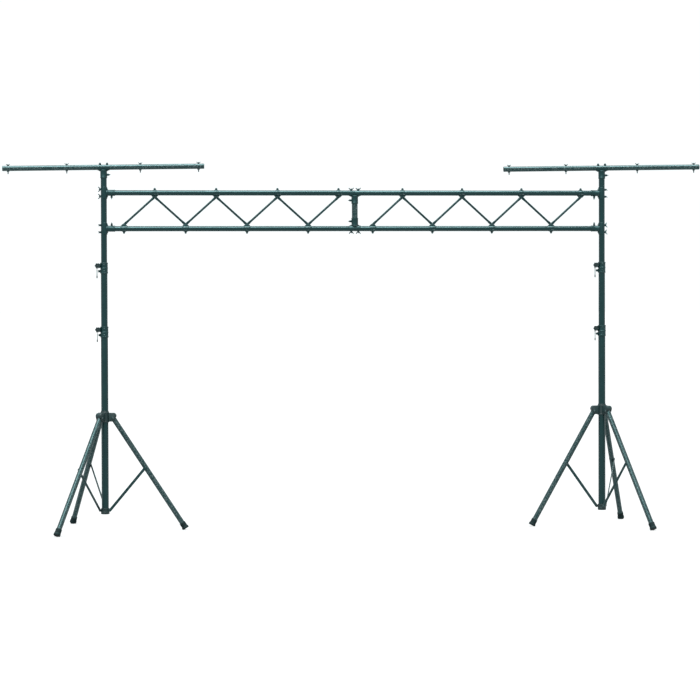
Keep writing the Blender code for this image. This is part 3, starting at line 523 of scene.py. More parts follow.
def thread(radius, z0, z1, pitch=0.00125, sides=20):
    """A threaded length of bolt with a chamfered end at z1."""
    profile = [(0, z0), (radius, z0)]
    z = z0
    while z + pitch < z1 - 0.0008:
        profile += [(radius - 0.00045, z + pitch * 0.5), (radius, z + pitch)]
        z += pitch
    profile += [(radius - 0.0003, z1 - 0.0006), (radius - 0.001, z1), (0, z1)]
    return lathe(profile, sides)


def wing_nut_mesh(scale=1.0):
    """A wing nut standing on z = 0 with its wings along Y."""
    profile = [(0, 0), (0.0066, 0), (0.0068, 0.0004), (0.0062, 0.0056), (0.0052, 0.009), (0.0047, 0.0095)]
    hub = lathe([*profile, (0, 0.0095)], 28)
    wing = [(0.003, 0.0014), (0.0068, 0.0014), (0.0108, 0.0052), (0.0158, 0.0112)]
    wing += arc(0.0146, 0.0138, 0.0027, -30, 130, 8)
    wing += [(0.0098, 0.0122), (0.0064, 0.0082), (0.003, 0.007)]
    for side in (-1, 1):
        outline = [(side * x, z) for x, z in wing]
        join(hub, slab(outline, -0.0014, 0.0014, 0.0006))
    return taken(moved(hub, Matrix.Scale(scale, 4) @ about_z(90)))


def dome_nut_mesh():
    """A capped nut standing on z = 0."""
    base = hexagon(0.0156, 0, 0.0076)
    radius, shoulder, rise = 0.006, 0.0084, 0.0045
    dome = [(0, 0.004), (radius, 0.004), (radius, shoulder)]
    dome += [(radius * cos(a), shoulder + rise * sin(a)) for a in (0.4, 0.8, 1.2)]
    washer = rod(0.0086, -0.0001, 0.0012, 28, edge=0.0003)
    return taken(join(base, lathe([*dome, (0, shoulder + rise)], 24), washer), sharp=32)


def rivet_mesh():
    """A domed rivet head standing on z = 0."""
    profile = [(0, 0), (0.0054, 0), (0.0055, 0.0005), (0.0047, 0.0014), (0.003, 0.0021), (0.0012, 0.0023)]
    return taken(lathe([*profile, (0, 0.00235)], 24), sharp=60)


# ---- mast


def mast_tube_mesh(radius, z0, z1, hole_heights):
    """An upright mast tube, with holes for the safety pin on its -X side."""
    body = tube(radius, radius - MAST_WALL, z0, z1)
    start_x = -radius - PIN_HOLE_DEPTH / 2
    for z in hole_heights:
        cut(body, rod(PIN_HOLE_R, 0, PIN_HOLE_DEPTH, 16, placed((start_x, 0, z)) @ ALONG_X))
    return taken(body, bevel=0.0002)


def clamp_mesh(lower_r, upper_r):
    """The split collar: two rims, a waist band, the ear for the knob's stud, and the pin's boss."""
    outer = lower_r + CLAMP_WALL
    waist = outer - CLAMP_WAIST
    top = CLAMP_HALF
    lower_bore, upper_bore = lower_r + 0.0003, upper_r + SLIDE_GAP
    step = -0.003
    profile = [(outer - 0.0006, -top), (outer, -top + 0.0006), (outer, -top + 0.007)]
    profile += [(waist, -top + 0.0085), (waist, -0.005), (outer, -0.0035), (outer, 0.0005)]
    profile += [(waist, 0.002), (waist, top - 0.0085), (outer, top - 0.007)]
    profile += [(outer, top - 0.0006), (outer - 0.0006, top)]
    profile += [(upper_bore + 0.0008, top), (upper_bore, top - 0.0008)]
    profile += [(upper_bore, step), (lower_bore, step)]
    profile += [(lower_bore, -top + 0.0005), (lower_bore + 0.0005, -top)]
    collar = lathe(profile, 56, hollow=True)
    start_x, corner = -lower_r - 0.0016, 0.008
    outline = [(start_x, EAR_LOW), (start_x, EAR_HIGH)]
    outline += arc(EAR_X + corner, EAR_HIGH - corner, corner, 90, 180, 8)
    outline += arc(EAR_X + corner, EAR_LOW + corner, corner, 180, 270, 8)
    ear = slab(outline, -EAR_HALF_THICK, EAR_HALF_THICK, 0.0014)
    at_boss = placed((0, 0, BOSS_Z)) @ ALONG_X
    boss = rod(BOSS_R, BOSS_X, start_x, 32, at_boss, edge=0.001)
    flange = rod(BOSS_R + 0.0022, start_x - 0.0035, start_x, 32, at_boss, edge=0.0008)
    tab_outline = [(TAB_X + 0.004, EAR_LOW + 0.003), (TAB_X - 0.004, EAR_LOW + 0.003)]
    tab_outline += arc(TAB_X, TAB_HOLE_Z, 0.004, 180, 360, 12)
    tab = slab(tab_outline, TAB_Y - 0.0015, TAB_Y + 0.0015, 0.0005)
    join(collar, ear, flange, boss, tab)
    slit = block((EAR_X - 0.01, -0.0015, step - 0.001), (-upper_r + 0.003, 0.0015, 0.05))
    stud_hole = rod(0.0045, -0.02, 0.02, 20, placed((STUD_X, 0, STUD_Z)) @ ALONG_Y)
    pin_hole = rod(PIN_HOLE_R, BOSS_X - 0.01, -upper_r + 0.003, 16, at_boss)
    tab_hole = rod(0.0022, -0.01, 0.0, 16, placed((TAB_X, 0, TAB_HOLE_Z)) @ ALONG_Y)
    return taken(cut(collar, slit, stud_hole, pin_hole, tab_hole), bevel=0.00035)


def knob_mesh():
    """A lobed knob with a dished face. Its stud lies on Y, with the head on the -Y side."""
    count = KNOB_LOBES * 14
    outline = []
    for k in range(count):
        angle = 2 * pi * k / count
        reach = KNOB_R + KNOB_LOBE * cos(KNOB_LOBES * angle)
        outline.append((reach * cos(angle), reach * sin(angle)))
    near, far = -KNOB_NEAR, -KNOB_FAR
    # share of the full outline, and place along Y
    steps = [(0.8, near), (0.93, near - 0.0006), (0.99, near - 0.0022), (1.0, near - 0.0045)]
    steps += [(1.0, far + 0.0045), (0.985, far + 0.0022), (0.93, far + 0.0006), (0.84, far)]
    steps += [(0.76, far + 0.0004), (0.7, far + 0.0022), (0.4, far + 0.0026)]
    steps += [(0.36, far + 0.0012), (0.3, far + 0.0008)]
    rings = [[(x * s, y, z * s) for x, z in outline] for s, y in steps]
    head = loft(rings)
    neck_profile = [(0, 0.0104), (0.007, 0.0104), (0.0085, 0.0112), (0.0092, 0.015), (0, 0.015)]
    neck = lathe(neck_profile, 28, FACING_FRONT)
    stud = rod(0.0039, -0.0085, 0.012, 20, FACING_FRONT, edge=0.0006)
    return taken(join(head, neck, stud), sharp=50)


def pin_meshes():
    """(ring, pin, grip) of a safety pin that hangs from the ring's top, at the origin."""
    ring = taken(torus(RING_R, RING_WIRE, 36, 12, placed((0, 0, -RING_R)) @ ALONG_X), sharp=80)
    top = -2 * RING_R + 0.0035
    low = top - PIN_LENGTH
    profile = [(0, top), (0.0024, top), (PIN_R, top - 0.0008), (PIN_R, top - 0.004), (0.0026, top - 0.0048)]
    profile += [(0.0026, low + 0.016), (0, low + 0.016)]
    pin = taken(lathe(profile, 24), sharp=40)
    grip = [(0, low + 0.0165), (0.0028, low + 0.0165), (PIN_R, low + 0.0155), (PIN_R, low + 0.0045)]
    grip += [(0.0028, low + 0.0018), (0.0016, low + 0.0002), (0, low)]
    return ring, pin, taken(lathe(grip, 24), sharp=40)


# ---- tees


def tee_mesh(run_r, branch_r, screw_side, branch_gap=SLIDE_GAP):
    """A saddle under a run tube on X, with a sleeve down -Z, side webs, and a boss for the lock screw."""
    saddle_r, bore = run_r + TEE_WALL, run_r + 0.0002
    sleeve_r = branch_r + TEE_WALL
    bottom = -saddle_r - TEE_SLEEVE
    saddle = tube(saddle_r, bore - 0.001, -TEE_HALF, TEE_HALF, 48, ALONG_X)
    cut(saddle, block((-0.05, -0.05, 0.0015), (0.05, 0.05, 0.05)))
    sleeve_profile = [(0, bottom), (sleeve_r - 0.0006, bottom), (sleeve_r, bottom + 0.0006)]
    sleeve_profile += [(sleeve_r, bottom + 0.006), (sleeve_r - 0.0007, bottom + 0.007)]
    sleeve_profile += [(sleeve_r - 0.0007, -run_r * 0.75), (0, -run_r * 0.75)]
    sleeve = lathe(sleeve_profile, 48)
    edge, foot = sleeve_r - 0.0015, -saddle_r + 0.0012
    webs = []
    for side in (-1, 1):
        quarter = [pi / 2 * k / 6 for k in range(7)]
        curve = [(edge + WEB - WEB * sin(t), foot - WEB + WEB * cos(t)) for t in quarter]
        corners = [(edge, foot + 0.001), (edge + WEB, foot + 0.001)] + curve
        webs.append(slab([(side * x, z) for x, z in corners], -0.0025, 0.0025, 0.0))
    bead = torus(sleeve_r - 0.0004, 0.0016, 40, 10, placed((0, 0, -saddle_r + 0.0006)))
    join(saddle, sleeve, bead, *webs)
    cut(saddle, rod(bore, -0.06, 0.06, 48, ALONG_X))
    cut(saddle, rod(branch_r + branch_gap * 0.5, bottom - 0.01, -saddle_r, 48))
    screw_z = -saddle_r - TEE_SCREW_DEPTH
    out = placed((0, 0, screw_z)) @ placed(turned=(0, 90 * (screw_side or 1), 0))
    boss = rod(0.007, sleeve_r - 0.0022, sleeve_r + 0.003, 28, out, edge=0.0007)
    cut(boss, rod(branch_r + branch_gap, bottom, 0, 48))
    join(saddle, boss)
    return taken(saddle, bevel=0.00035)


def tee_pieces(label, kind, run_r, branch_r, screw_side, body, matrix, node):
    """A tee's casting with its two bolts and, where it has one, its lock screw.

    The bolts have wing nuts on a tee with its own lock screw, and dome nuts on the others.
    """
    piece(label, kind, "casting", body, matrix, [node])
    saddle_r, sleeve_r = run_r + TEE_WALL, branch_r + TEE_WALL
    for number, x in enumerate((-TEE_BOLT_X, TEE_BOLT_X), 1):
        here = matrix @ placed((x, 0, 0))
        piece(f"{label}.bolt_head_{number}", "bolt_head", "fastener", body,
              here @ placed((0, 0, -saddle_r), (180, 0, 0)))
        seat = here @ placed((0, 0, run_r), (0, 0, WING_TURNS.get(screw_side, 0)))
        if screw_side:
            piece(f"{label}.wing_nut_{number}", "wing_nut", "fastener", body, seat)
            piece(f"{label}.bolt_end_{number}", "bolt_end", "fastener", body, seat)
        else:
            piece(f"{label}.dome_nut_{number}", "dome_nut", "fastener", body, seat)
    if screw_side:
        out = placed((0, 0, -saddle_r - TEE_SCREW_DEPTH)) @ placed(turned=(0, 90 * screw_side, 0))
        at_wings = matrix @ out @ placed((0, 0, sleeve_r + SCREW_STAND))
        piece(f"{label}.lock_screw", "wing_screw", "fastener", body, at_wings)


def wing_screw_mesh():
    """A lock screw on Z. Its wings stand on z = 0, and its shank goes down into the boss."""
    nut = shown("shape", wing_nut_mesh())
    shank = rod(0.0029, -0.0038, 0.012, 20, edge=0.0005)
    return taken(join(nut, shank))


# ---- tripod


def tripod(spread):
    """(leg angle, pivot height, brace pin radius, brace pin height) of a tripod, in a leg's plane."""
    leg = asin((spread - A_RADIUS) / LEG_LENGTH)
    end_z = FOOT_R * sin(leg) - FOOT_TRIM
    a_z = end_z + LEG_LENGTH * cos(leg)
    return leg, a_z, A_RADIUS + BRACE_ON_LEG * sin(leg), a_z - BRACE_ON_LEG * cos(leg)


def brace_length():
    b_z = JOINTS["left_inner_brace_pivot"]["pos_m"][2]
    _, _, pin_r, pin_z = tripod(SPREAD["left"])
    return hypot(pin_r - B_RADIUS, pin_z - b_z)


def leg_mesh():
    """A leg hanging down -Z from its pivot, with a domed plug in its upper end."""
    end = -LEG_LENGTH + 0.0083
    body = tube(LEG_R, LEG_R - LEG_WALL, end, LEG_STUB - 0.002)
    r, top = LEG_R, LEG_STUB
    plug = [(0, top - 0.006), (r - 0.001, top - 0.006), (r - 0.001, top - 0.0022)]
    plug += [(r - 0.0006, top - 0.0016), (r - 0.003, top - 0.0004), (0, top)]
    join(body, lathe(plug))
    return taken(body)


def foot_mesh(leg_angle):
    """A ribbed rubber cap on the leg's end, with the edge that meets the floor worn flat."""
    end, r = -LEG_LENGTH, FOOT_R - 0.0004
    profile = [(0, end + 0.0006), (0.008, end + 0.0006), (0.009, end), (r - 0.0014, end), (r, end + 0.0014)]
    profile += [(r, end + 0.0118), (r - 0.0022, end + 0.015)]
    for k in range(4):
        z = end + 0.0175 + 0.0055 * k
        profile += [(r - 0.0022, z), (r - 0.0034, z + 0.0006)]
        profile += [(r - 0.0034, z + 0.0016), (r - 0.0022, z + 0.0022)]
    profile += [(r - 0.0022, end + FOOT_LENGTH - 0.001), (r - 0.003, end + FOOT_LENGTH)]
    profile += [(LEG_R + 0.0002, end + FOOT_LENGTH), (LEG_R + 0.0002, end + 0.008), (0, end + 0.008)]
    foot = lathe(profile, 44)
    floor_z = -(LEG_LENGTH * cos(leg_angle) + FOOT_R * sin(leg_angle) - FOOT_TRIM)
    ground = block((-CUT, -CUT, floor_z - CUT), (CUT, CUT, floor_z))
    moved(ground, placed((LEG_LENGTH * sin(leg_angle), 0, 0)))
    moved(ground, Matrix.Rotation(leg_angle, 4, "Y"))
    return taken(cut(foot, ground), sharp=45)


def brace_mesh():
    """A flat strap up +Z from its pivot, on the -Y side of the leg, with a shallow stiffening rib."""
    length = brace_length()
    outline = arc(0, 0, BRACE_HALF_WIDTH, 180, 360, 14) + arc(0, length, BRACE_HALF_WIDTH, 0, 180, 14)
    strap = slab(outline, -BRACE_OUT + 0.0003, -BRACE_IN, 0.0006)
    cut(strap, rod(0.0035, -BRACE_OUT - 0.01, -BRACE_IN + 0.01, 16, ALONG_Y))
    rib = arc(0, 0.03, 0.0022, 180, 360, 8) + arc(0, length - 0.03, 0.0022, 0, 180, 8)
    return taken(join(strap, slab(rib, -BRACE_OUT - 0.0004, -BRACE_IN - 0.0008, 0.0005)))


def housing_outline(inset_by):
    """Side view of a leg's housing on the hub, from the leg's pivot. inset_by takes off the sheet."""
    inner = HOUSING_INNER - A_RADIUS
    reach, top = HOUSING_REACH - inset_by, HOUSING_TOP - inset_by
    corner = HOUSING_CORNER - inset_by
    outline = [(inner, -HOUSING_DROP), (inner, top)]
    outline += arc(reach - corner, top - corner, corner, 90, 0, 8)
    return outline + [(reach, HOUSING_LIP), (HOUSING_TOE, -HOUSING_DROP)]


def leg_hub_mesh():
    """The sliding hub: a banded collar and three hooded housings that the legs' ends turn in."""
    bore, r, low, top = BASE_R + SLIDE_GAP, HUB_R, HUB_BOTTOM, HUB_TOP
    profile = [(r - 0.0008, low), (r, low + 0.0008), (r, low + 0.006)]
    profile += [(r - 0.0012, low + 0.0072), (r - 0.0012, top - 0.012)]
    profile += [(r, top - 0.0105), (r - 0.0005, top - 0.0088)]
    profile += [(r - 0.0032, top - 0.007), (r - 0.0032, top - 0.0008)]
    profile += [(r - 0.004, top)]
    profile += [(bore + 0.0006, top), (bore, top - 0.0006)]
    profile += [(bore, low + 0.0006), (bore + 0.0006, low)]
    hub = lathe(profile, 56, hollow=True)
    for k in range(3):
        housing = slab(housing_outline(0), -CHEEK_OUT, CHEEK_OUT, 0.0022)
        hollow = housing_outline(HOUSING_SHEET)
        hollow[0] = (hollow[0][0] - 0.01, -0.05)
        hollow[1] = (hollow[1][0] - 0.01, hollow[1][1])
        hollow[-1] = (HOUSING_REACH - HOUSING_SHEET, -0.05)
        cut(housing, slab(hollow, -CHEEK_IN, CHEEK_IN, 0.0))
        for side in (-1, 1):
            cheek = side * CHEEK_OUT
            join(housing, rod(BOSS_DISC_R, cheek - 0.001, cheek + 0.0008, 32, ALONG_Y))
        moved(housing, about_z(120 * k) @ placed((A_RADIUS, 0, 0)))
        cut(housing, rod(BASE_R + 0.002, -CUT, CUT))
        join(hub, housing)
    return taken(hub, bevel=0.0005)


def foot_collar_mesh():
    """The cap on the mast's foot, with three riveted lugs for the braces."""
    r = COLLAR_R
    low, top = COLLAR_BOTTOM, COLLAR_TOP
    profile = [(0, low + 0.0008), (r - 0.008, low + 0.0008), (r - 0.007, low)]
    profile += [(r - 0.0034, low), (r - 0.001, low + 0.0012), (r, low + 0.0034)]
    profile += [(r, -0.009), (r - 0.001, -0.008), (r - 0.001, top - 0.006), (r, top - 0.005)]
    profile += [(r, top - 0.0008), (r - 0.0008, top), (BASE_R + 0.0008, top)]
    profile += [(BASE_R + 0.0002, top - 0.0006), (BASE_R + 0.0002, low + 0.004), (0, low + 0.004)]
    collar = lathe(profile, 56)
    for k in range(3):
        outline = arc(B_RADIUS, 0, 0.006, -90, 90, 12) + [(0.019, 0.008), (0.019, -0.008)]
        lug = slab(outline, -0.0155, -0.0125, 0.0005)
        join(lug, rod(0.003, 0.014, 0.02, 16, placed((B_RADIUS, 0, 0), (90, 0, 0))))
        join(collar, moved(lug, about_z(120 * k)))
    return taken(collar, bevel=0.0003)


# ---- truss


def node_spots(side):
    """Distances from the outer mast's axis to the lacing's nodes."""
    middle = (CHORD_START + SPAN / 2 - CHORD_END_GAP) / 2
    return [middle + (k - (NODES - 1) / 2) * NODE_PITCH[side] for k in range(NODES)]


def chord_mesh(spots):
    """A chord along +X from its mast's axis, drilled for the node bolts."""
    body = tube(CHORD_R, CHORD_R - CHORD_WALL, CHORD_START, SPAN / 2 - CHORD_END_GAP, ROUND, ALONG_X)
    holes = [rod(NODE_BOLT_HOLE_R, -0.03, 0.03, 16, placed((x, 0, 0))) for x in spots]
    return taken(cut(body, *holes), bevel=0.0002)


def diagonal_mesh(start, end):
    """A lacing tube between two nodes, given as (x, z). Each end is pressed flat in its gusset."""
    (x0, z0), (x1, z1) = start, end
    length = hypot(x1 - x0, z1 - z0)
    lean = degrees(atan2(x1 - x0, z1 - z0))
    # distance from the node, half width in the truss's plane, half thickness across it
    steps = [(0.000, 0.0058, 0.003), (0.001, 0.0074, 0.0034), (0.012, 0.008, 0.0036)]
    steps += [(0.02, 0.0078, 0.0044), (0.028, 0.007, 0.006), (0.035, LACE_R, LACE_R)]
    path = steps + [(length - along, wide, thick) for along, wide, thick in reversed(steps)]
    rings = []
    for along, wide, thick in path:
        angles = [2 * pi * k / 24 for k in range(24)]
        rings.append([(wide * cos(a), thick * sin(a), along) for a in angles])
    return taken(loft(rings, False, placed((x0, 0, z0), (0, lean, 0))), sharp=60)


def seat_slab(half_length):
    """A curved seat under a chord on X."""
    start, end = 270 - SEAT_REACH, 270 + SEAT_REACH
    inner = CHORD_R + 0.0002
    outline = arc(0, 0, inner + SEAT_WALL, start, end, 20) + arc(0, 0, inner, end, start, 20)
    return slab(outline, -half_length, half_length, 0.0004, about_z(90))


def gusset_mesh():
    """The seat under a chord on X, with the lug that the two diagonals meet at."""
    top, low = -CHORD_R - 0.001, -CHORD_R - 0.0125
    outline = [(0.019, top), (0.0178, top - 0.003), (0.0112, low + 0.0016), (0.0088, low)]
    outline = outline + [(-x, z) for x, z in reversed(outline)]
    lug = slab(outline, -0.0073, 0.0073, 0.0014)
    return taken(join(seat_slab(SEAT_HALF), lug), sharp=40)


def washer_mesh():
    """The curved washer on a chord's outer side, lying below a chord on X."""
    return taken(seat_slab(WASHER_HALF), sharp=40)


# ---- assembly


def build_mast(side):
    """The tubes, clamps, knobs and pins of one stand."""
    low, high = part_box(f"{side}_top_tube")
    axis = Vector(((low.x + high.x) / 2, (low.y + high.y) / 2, 0))
    base, middle = f"{side}_base", f"{side}_middle"
    centres = {}
    for level in ("lower", "upper"):
        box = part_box(f"{side}_{level}_clamp")
        centres[level] = (box[0].z + box[1].z) / 2
    tubes = (
        ("base", BASE_R, base, [centres["lower"] + BOSS_Z]),
        ("mid", MID_R, middle, [centres["upper"] + BOSS_Z]),
        ("top", TOP_R, "truss", []),
    )
    for label, radius, body, pinned in tubes:
        node = f"{side}_{label}_tube"
        low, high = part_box(node)
        if label == "mid":
            pinned = pinned + [high.z - MID_FIRST_HOLE - PIN_HOLE_STEP * k for k in range(3)]
        if label == "top":
            tee_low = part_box(f"{side}_bottom_tee")[0].z
            pinned = [tee_low - TOP_FIRST_HOLE - PIN_HOLE_STEP * k for k in range(2)]
        mesh = mast_tube_mesh(radius, low.z, high.z, pinned)
        piece(f"{side}.{label}_tube", mesh, "coat" if label == "base" else "slider", body,
              placed(axis), [node])
    for level, body in (("lower", base), ("upper", middle)):
        here = placed(axis + Vector((0, 0, centres[level])))
        clamp = f"{level}_clamp"
        piece(f"{side}.{clamp}", clamp, "casting", body, here, [f"{side}_{clamp}"])
        outer = (BASE_R if level == "lower" else MID_R) + CLAMP_WALL - CLAMP_WAIST
        for number, z in enumerate((CLAMP_RIVET_Z, -CLAMP_RIVET_Z), 1):
            front = here @ placed((0, -outer + RIVET_SUNK, z)) @ FACING_FRONT
            piece(f"{side}.{level}_clamp.rivet_{number}", "rivet", "fastener", body, front)
        knob = here @ placed((STUD_X, 0, STUD_Z))
        piece(f"{side}.{level}_knob", "knob", "plastic", f"{side}_{level}_knob", knob,
              [f"{side}_{level}_knob"])
        back = here @ placed((STUD_X, EAR_HALF_THICK, STUD_Z)) @ ALONG_Y
        piece(f"{side}.{level}_clamp.stud_nut", "stud_nut", "fastener", body, back)
        hang = here @ placed((TAB_X, TAB_Y, TAB_HOLE_Z))
        rides = f"{side}_{level}_pin"
        piece(f"{side}.{level}_pin", "pin", "zinc", rides, hang, [rides])
        piece(f"{side}.{level}_pin.ring", "pin_ring", "zinc", rides, hang)
        piece(f"{side}.{level}_pin.grip", "pin_grip", "tip", rides, hang)
    return axis


def build_tripod(side, axis):
    """The hub, legs, feet, braces and foot collar of one stand."""
    leg_angle, _, pin_r, pin_z = tripod(SPREAD[side])
    facing = -INNER_LEG_TURN if side == "left" else 180 + INNER_LEG_TURN
    a_z = JOINTS[f"{side}_inner_leg_pivot"]["pos_m"][2]
    b_z = JOINTS[f"{side}_inner_brace_pivot"]["pos_m"][2]
    brace_angle = atan2(pin_r - B_RADIUS, pin_z - b_z)
    stand = placed(axis)
    turned = about_z(facing)
    base, hub = f"{side}_base", f"{side}_hub"
    piece(f"{side}.leg_hub", "leg_hub", "plastic", hub, stand @ placed((0, 0, a_z)) @ turned,
          [f"{side}_leg_hub"])
    piece(f"{side}.foot_collar", "foot_collar", "plastic", base, stand @ placed((0, 0, b_z)) @ turned,
          [f"{side}_foot_collar"])
    foot = foot_mesh(leg_angle)
    for k, name in enumerate(LEG_NAMES[side]):
        around = stand @ about_z(facing + 120 * k)
        upright = around @ placed((A_RADIUS, 0, a_z))
        leg = upright @ Matrix.Rotation(-leg_angle, 4, "Y")
        rides = f"{side}_{name}_leg"
        piece(f"{side}.{name}_leg", "leg", "coat", rides, leg, [f"{side}_leg_{name}"])
        upright_foot = foot.copy()
        upright_foot.transform(leg.to_3x3().to_4x4())
        ankle = placed(leg.translation)
        piece(f"{side}.{name}_foot", upright_foot, "rubber", rides, ankle, [f"{side}_foot_{name}"])
        rivet = leg @ placed((0, LEG_R - 0.0008, -BRACE_ON_LEG)) @ ALONG_Y
        piece(f"{side}.{name}_leg.rivet", "rivet", "fastener", rides, rivet)
        at_b = around @ placed((B_RADIUS, 0, b_z))
        brace = at_b @ Matrix.Rotation(brace_angle, 4, "Y")
        strap = f"{side}_{name}_brace"
        piece(f"{side}.{name}_brace", "brace", "coat", strap, brace, [f"{side}_brace_{name}"])
        upper = brace @ placed((0, -BRACE_OUT + RIVET_SUNK, brace_length())) @ FACING_FRONT
        piece(f"{side}.{name}_brace.rivet", "rivet", "fastener", strap, upper)
        lower = at_b @ placed((0, -BRACE_OUT - 0.0004, 0)) @ FACING_FRONT
        piece(f"{side}.{name}_brace.pivot", "rivet", "fastener", base, lower)
        for end, turn in (("bolt", -1), ("nut", 1)):
            across = upright @ placed((0, turn * (CHEEK_OUT + 0.0007), 0), (-90 * turn, 0, 0))
            piece(f"{side}.{name}_leg_pivot.{end}", "pivot_nut", "fastener", hub, across)


def build_t_bar(side, axis):
    """The bar, its end caps and fixture bolts, the tee that holds it and the tee's lock screw."""
    to_sleeve = BAR_R + TEE_WALL + TEE_SLEEVE / 2
    lean = placed((0, 0, T_BAR_Z - to_sleeve), (0, -T_BAR_TILT, 0)) @ placed((0, 0, to_sleeve))
    here = placed(axis) @ lean
    body = f"{side}_t_bar"
    piece(f"{side}.t_bar", "t_bar", "coat", body, here, [body])
    for number, turn in enumerate((-1, 1), 1):
        cap = here @ placed((turn * BAR_LENGTH / 2, 0, 0), (0, 90 * turn, 0))
        piece(f"{side}.t_bar.end_cap_{number}", "end_cap", "plastic", body, cap)
    for number, x in enumerate(FIXTURE_X, 1):
        spot = here @ placed((x, 0, 0), (0, 0, 90))
        piece(f"{side}.fixture_bolt_{number}", "fixture_bolt", "fastener", body, spot)
        nut = spot @ placed((0, 0, BAR_R - 0.0002))
        piece(f"{side}.fixture_bolt_{number}.wing_nut", "small_wing_nut", "fastener", body, nut)
        piece(f"{side}.fixture_bolt_{number}.nut", "fixture_nut", "fastener", body, spot)
    tee_pieces(f"{side}.t_bar_tee", "t_bar_tee", BAR_R, TOP_R, 0, body, here, f"{side}_t_bar_tee")
    out = placed((0, 0, -BAR_R - TEE_WALL - TEE_SCREW_DEPTH), (0, 90, 0))
    wings = here @ out @ placed((0, 0, TOP_R + TEE_WALL + SCREW_STAND))
    screw = f"{side}_t_bar_screw"
    piece(f"{side}.t_bar_screw", "wing_screw", "fastener", screw, wings, [screw])


def build_truss(axes):
    """Both truss sections with their tees, and the post between them."""
    heights = {}
    for level in ("top", "bottom"):
        low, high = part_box(f"left_{level}_chord")
        heights[level] = (low.z + high.z) / 2
    half = CHORD_SPACING / 2
    for side, turn, flip in (("left", -90, 0), ("right", 90, 180)):
        home = placed(axes[side])
        spots = node_spots(side)
        for level in ("top", "bottom"):
            at = home @ placed((0, 0, heights[level]))
            hand = (1 if side == "left" else -1) * (-1 if level == "top" else 1)
            node = f"{side}_{level}_tee"
            kind = "tee_plus" if hand > 0 else "tee_minus"
            tee_pieces(f"{side}.{level}_tee", kind, TOP_R, CHORD_R, hand, "truss",
                       at @ placed(turned=(0, turn, 0)), node)
            low = (level == "bottom") == (side == "left")
            chord = chord_mesh(spots[0::2] if low else spots[1::2])
            piece(f"{side}.{level}_chord", chord, "coat", "truss", at @ about_z(flip),
                  [f"{side}_{level}_chord"])
        middle = home @ placed((0, 0, (heights["top"] + heights["bottom"]) / 2), (0, 0, flip))
        ends = []
        for k, x in enumerate(spots):
            up = 1 if (k % 2 == 1) == (side == "left") else -1
            ends.append((x, up * (half - LACE_OFFSET)))
            at_chord = middle @ placed((x, 0, up * half), (0 if up > 0 else 180, 0, 0))
            name = f"{side}.node_{k + 1}"
            piece(f"{name}.gusset", "gusset", "casting", "truss", at_chord)
            over = at_chord @ UPSIDE_DOWN
            piece(f"{name}.washer", "washer", "casting", "truss", over)
            on_top = at_chord @ placed((0, 0, CHORD_R + SEAT_WALL))
            piece(f"{name}.dome_nut", "dome_nut", "fastener", "truss", on_top)
            below = at_chord @ placed((0, 0, -CHORD_R - GUSSET_LOW), (180, 0, 0))
            piece(f"{name}.bolt_head", "node_head", "fastener", "truss", below)
        for k in range(NODES - 1):
            stands_for = [f"{side}_lacing"] if k == 0 else []
            piece(f"{side}.diagonal_{k + 1}", diagonal_mesh(ends[k], ends[k + 1]), "coat", "truss", middle,
                  stands_for)
    centre = placed((axes["left"] + axes["right"]) / 2)
    for level, turn in (("top", 0), ("bottom", 180)):
        at = centre @ placed((0, 0, heights[level]), (turn, 0, 0))
        tee_pieces(f"middle_{level}_tee", "middle_tee", CHORD_R, POST_R, -1, "truss", at,
                   f"middle_{level}_tee")
    low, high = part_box("middle_post")
    post = taken(tube(POST_R, POST_R - MAST_WALL, low.z, high.z))
    piece("middle_post", post, "coat", "truss", centre, ["middle_post"])


def t_bar_mesh():
    """The bar's tube on X, short of its ends by the caps' flanges."""
    end = BAR_LENGTH / 2 - 0.0022
    return taken(tube(BAR_R, BAR_R - BAR_WALL, -end, end, ROUND, ALONG_X))


def end_cap_mesh():
    """A flanged plug in a bar's end. Its domed face is at z = 0, and +Z points out."""
    profile = [(0, 0), (0.008, -0.0001), (BAR_R - 0.0024, -0.0005), (BAR_R - 0.0006, -0.0012)]
    profile += [(BAR_R - 0.0002, -0.0021), (BAR_R - 0.0018, -0.0022)]
    profile += [(BAR_R - 0.002, -0.012), (0, -0.012)]
    return taken(lathe(profile), sharp=50)


def fixture_bolt_mesh():
    """The bolt through the bar, with a threaded end above and below."""
    shank = rod(FIXTURE_BOLT_R, -BAR_R, BAR_R + 0.001, 20)
    above = thread(FIXTURE_BOLT_R, BAR_R, BAR_R + 0.0099)
    below = thread(FIXTURE_BOLT_R, BAR_R - 0.001, BAR_R + 0.0188)
    return taken(join(shank, above, moved(below, UPSIDE_DOWN)))


def washered(nut, washer):
    return taken(join(nut, washer))


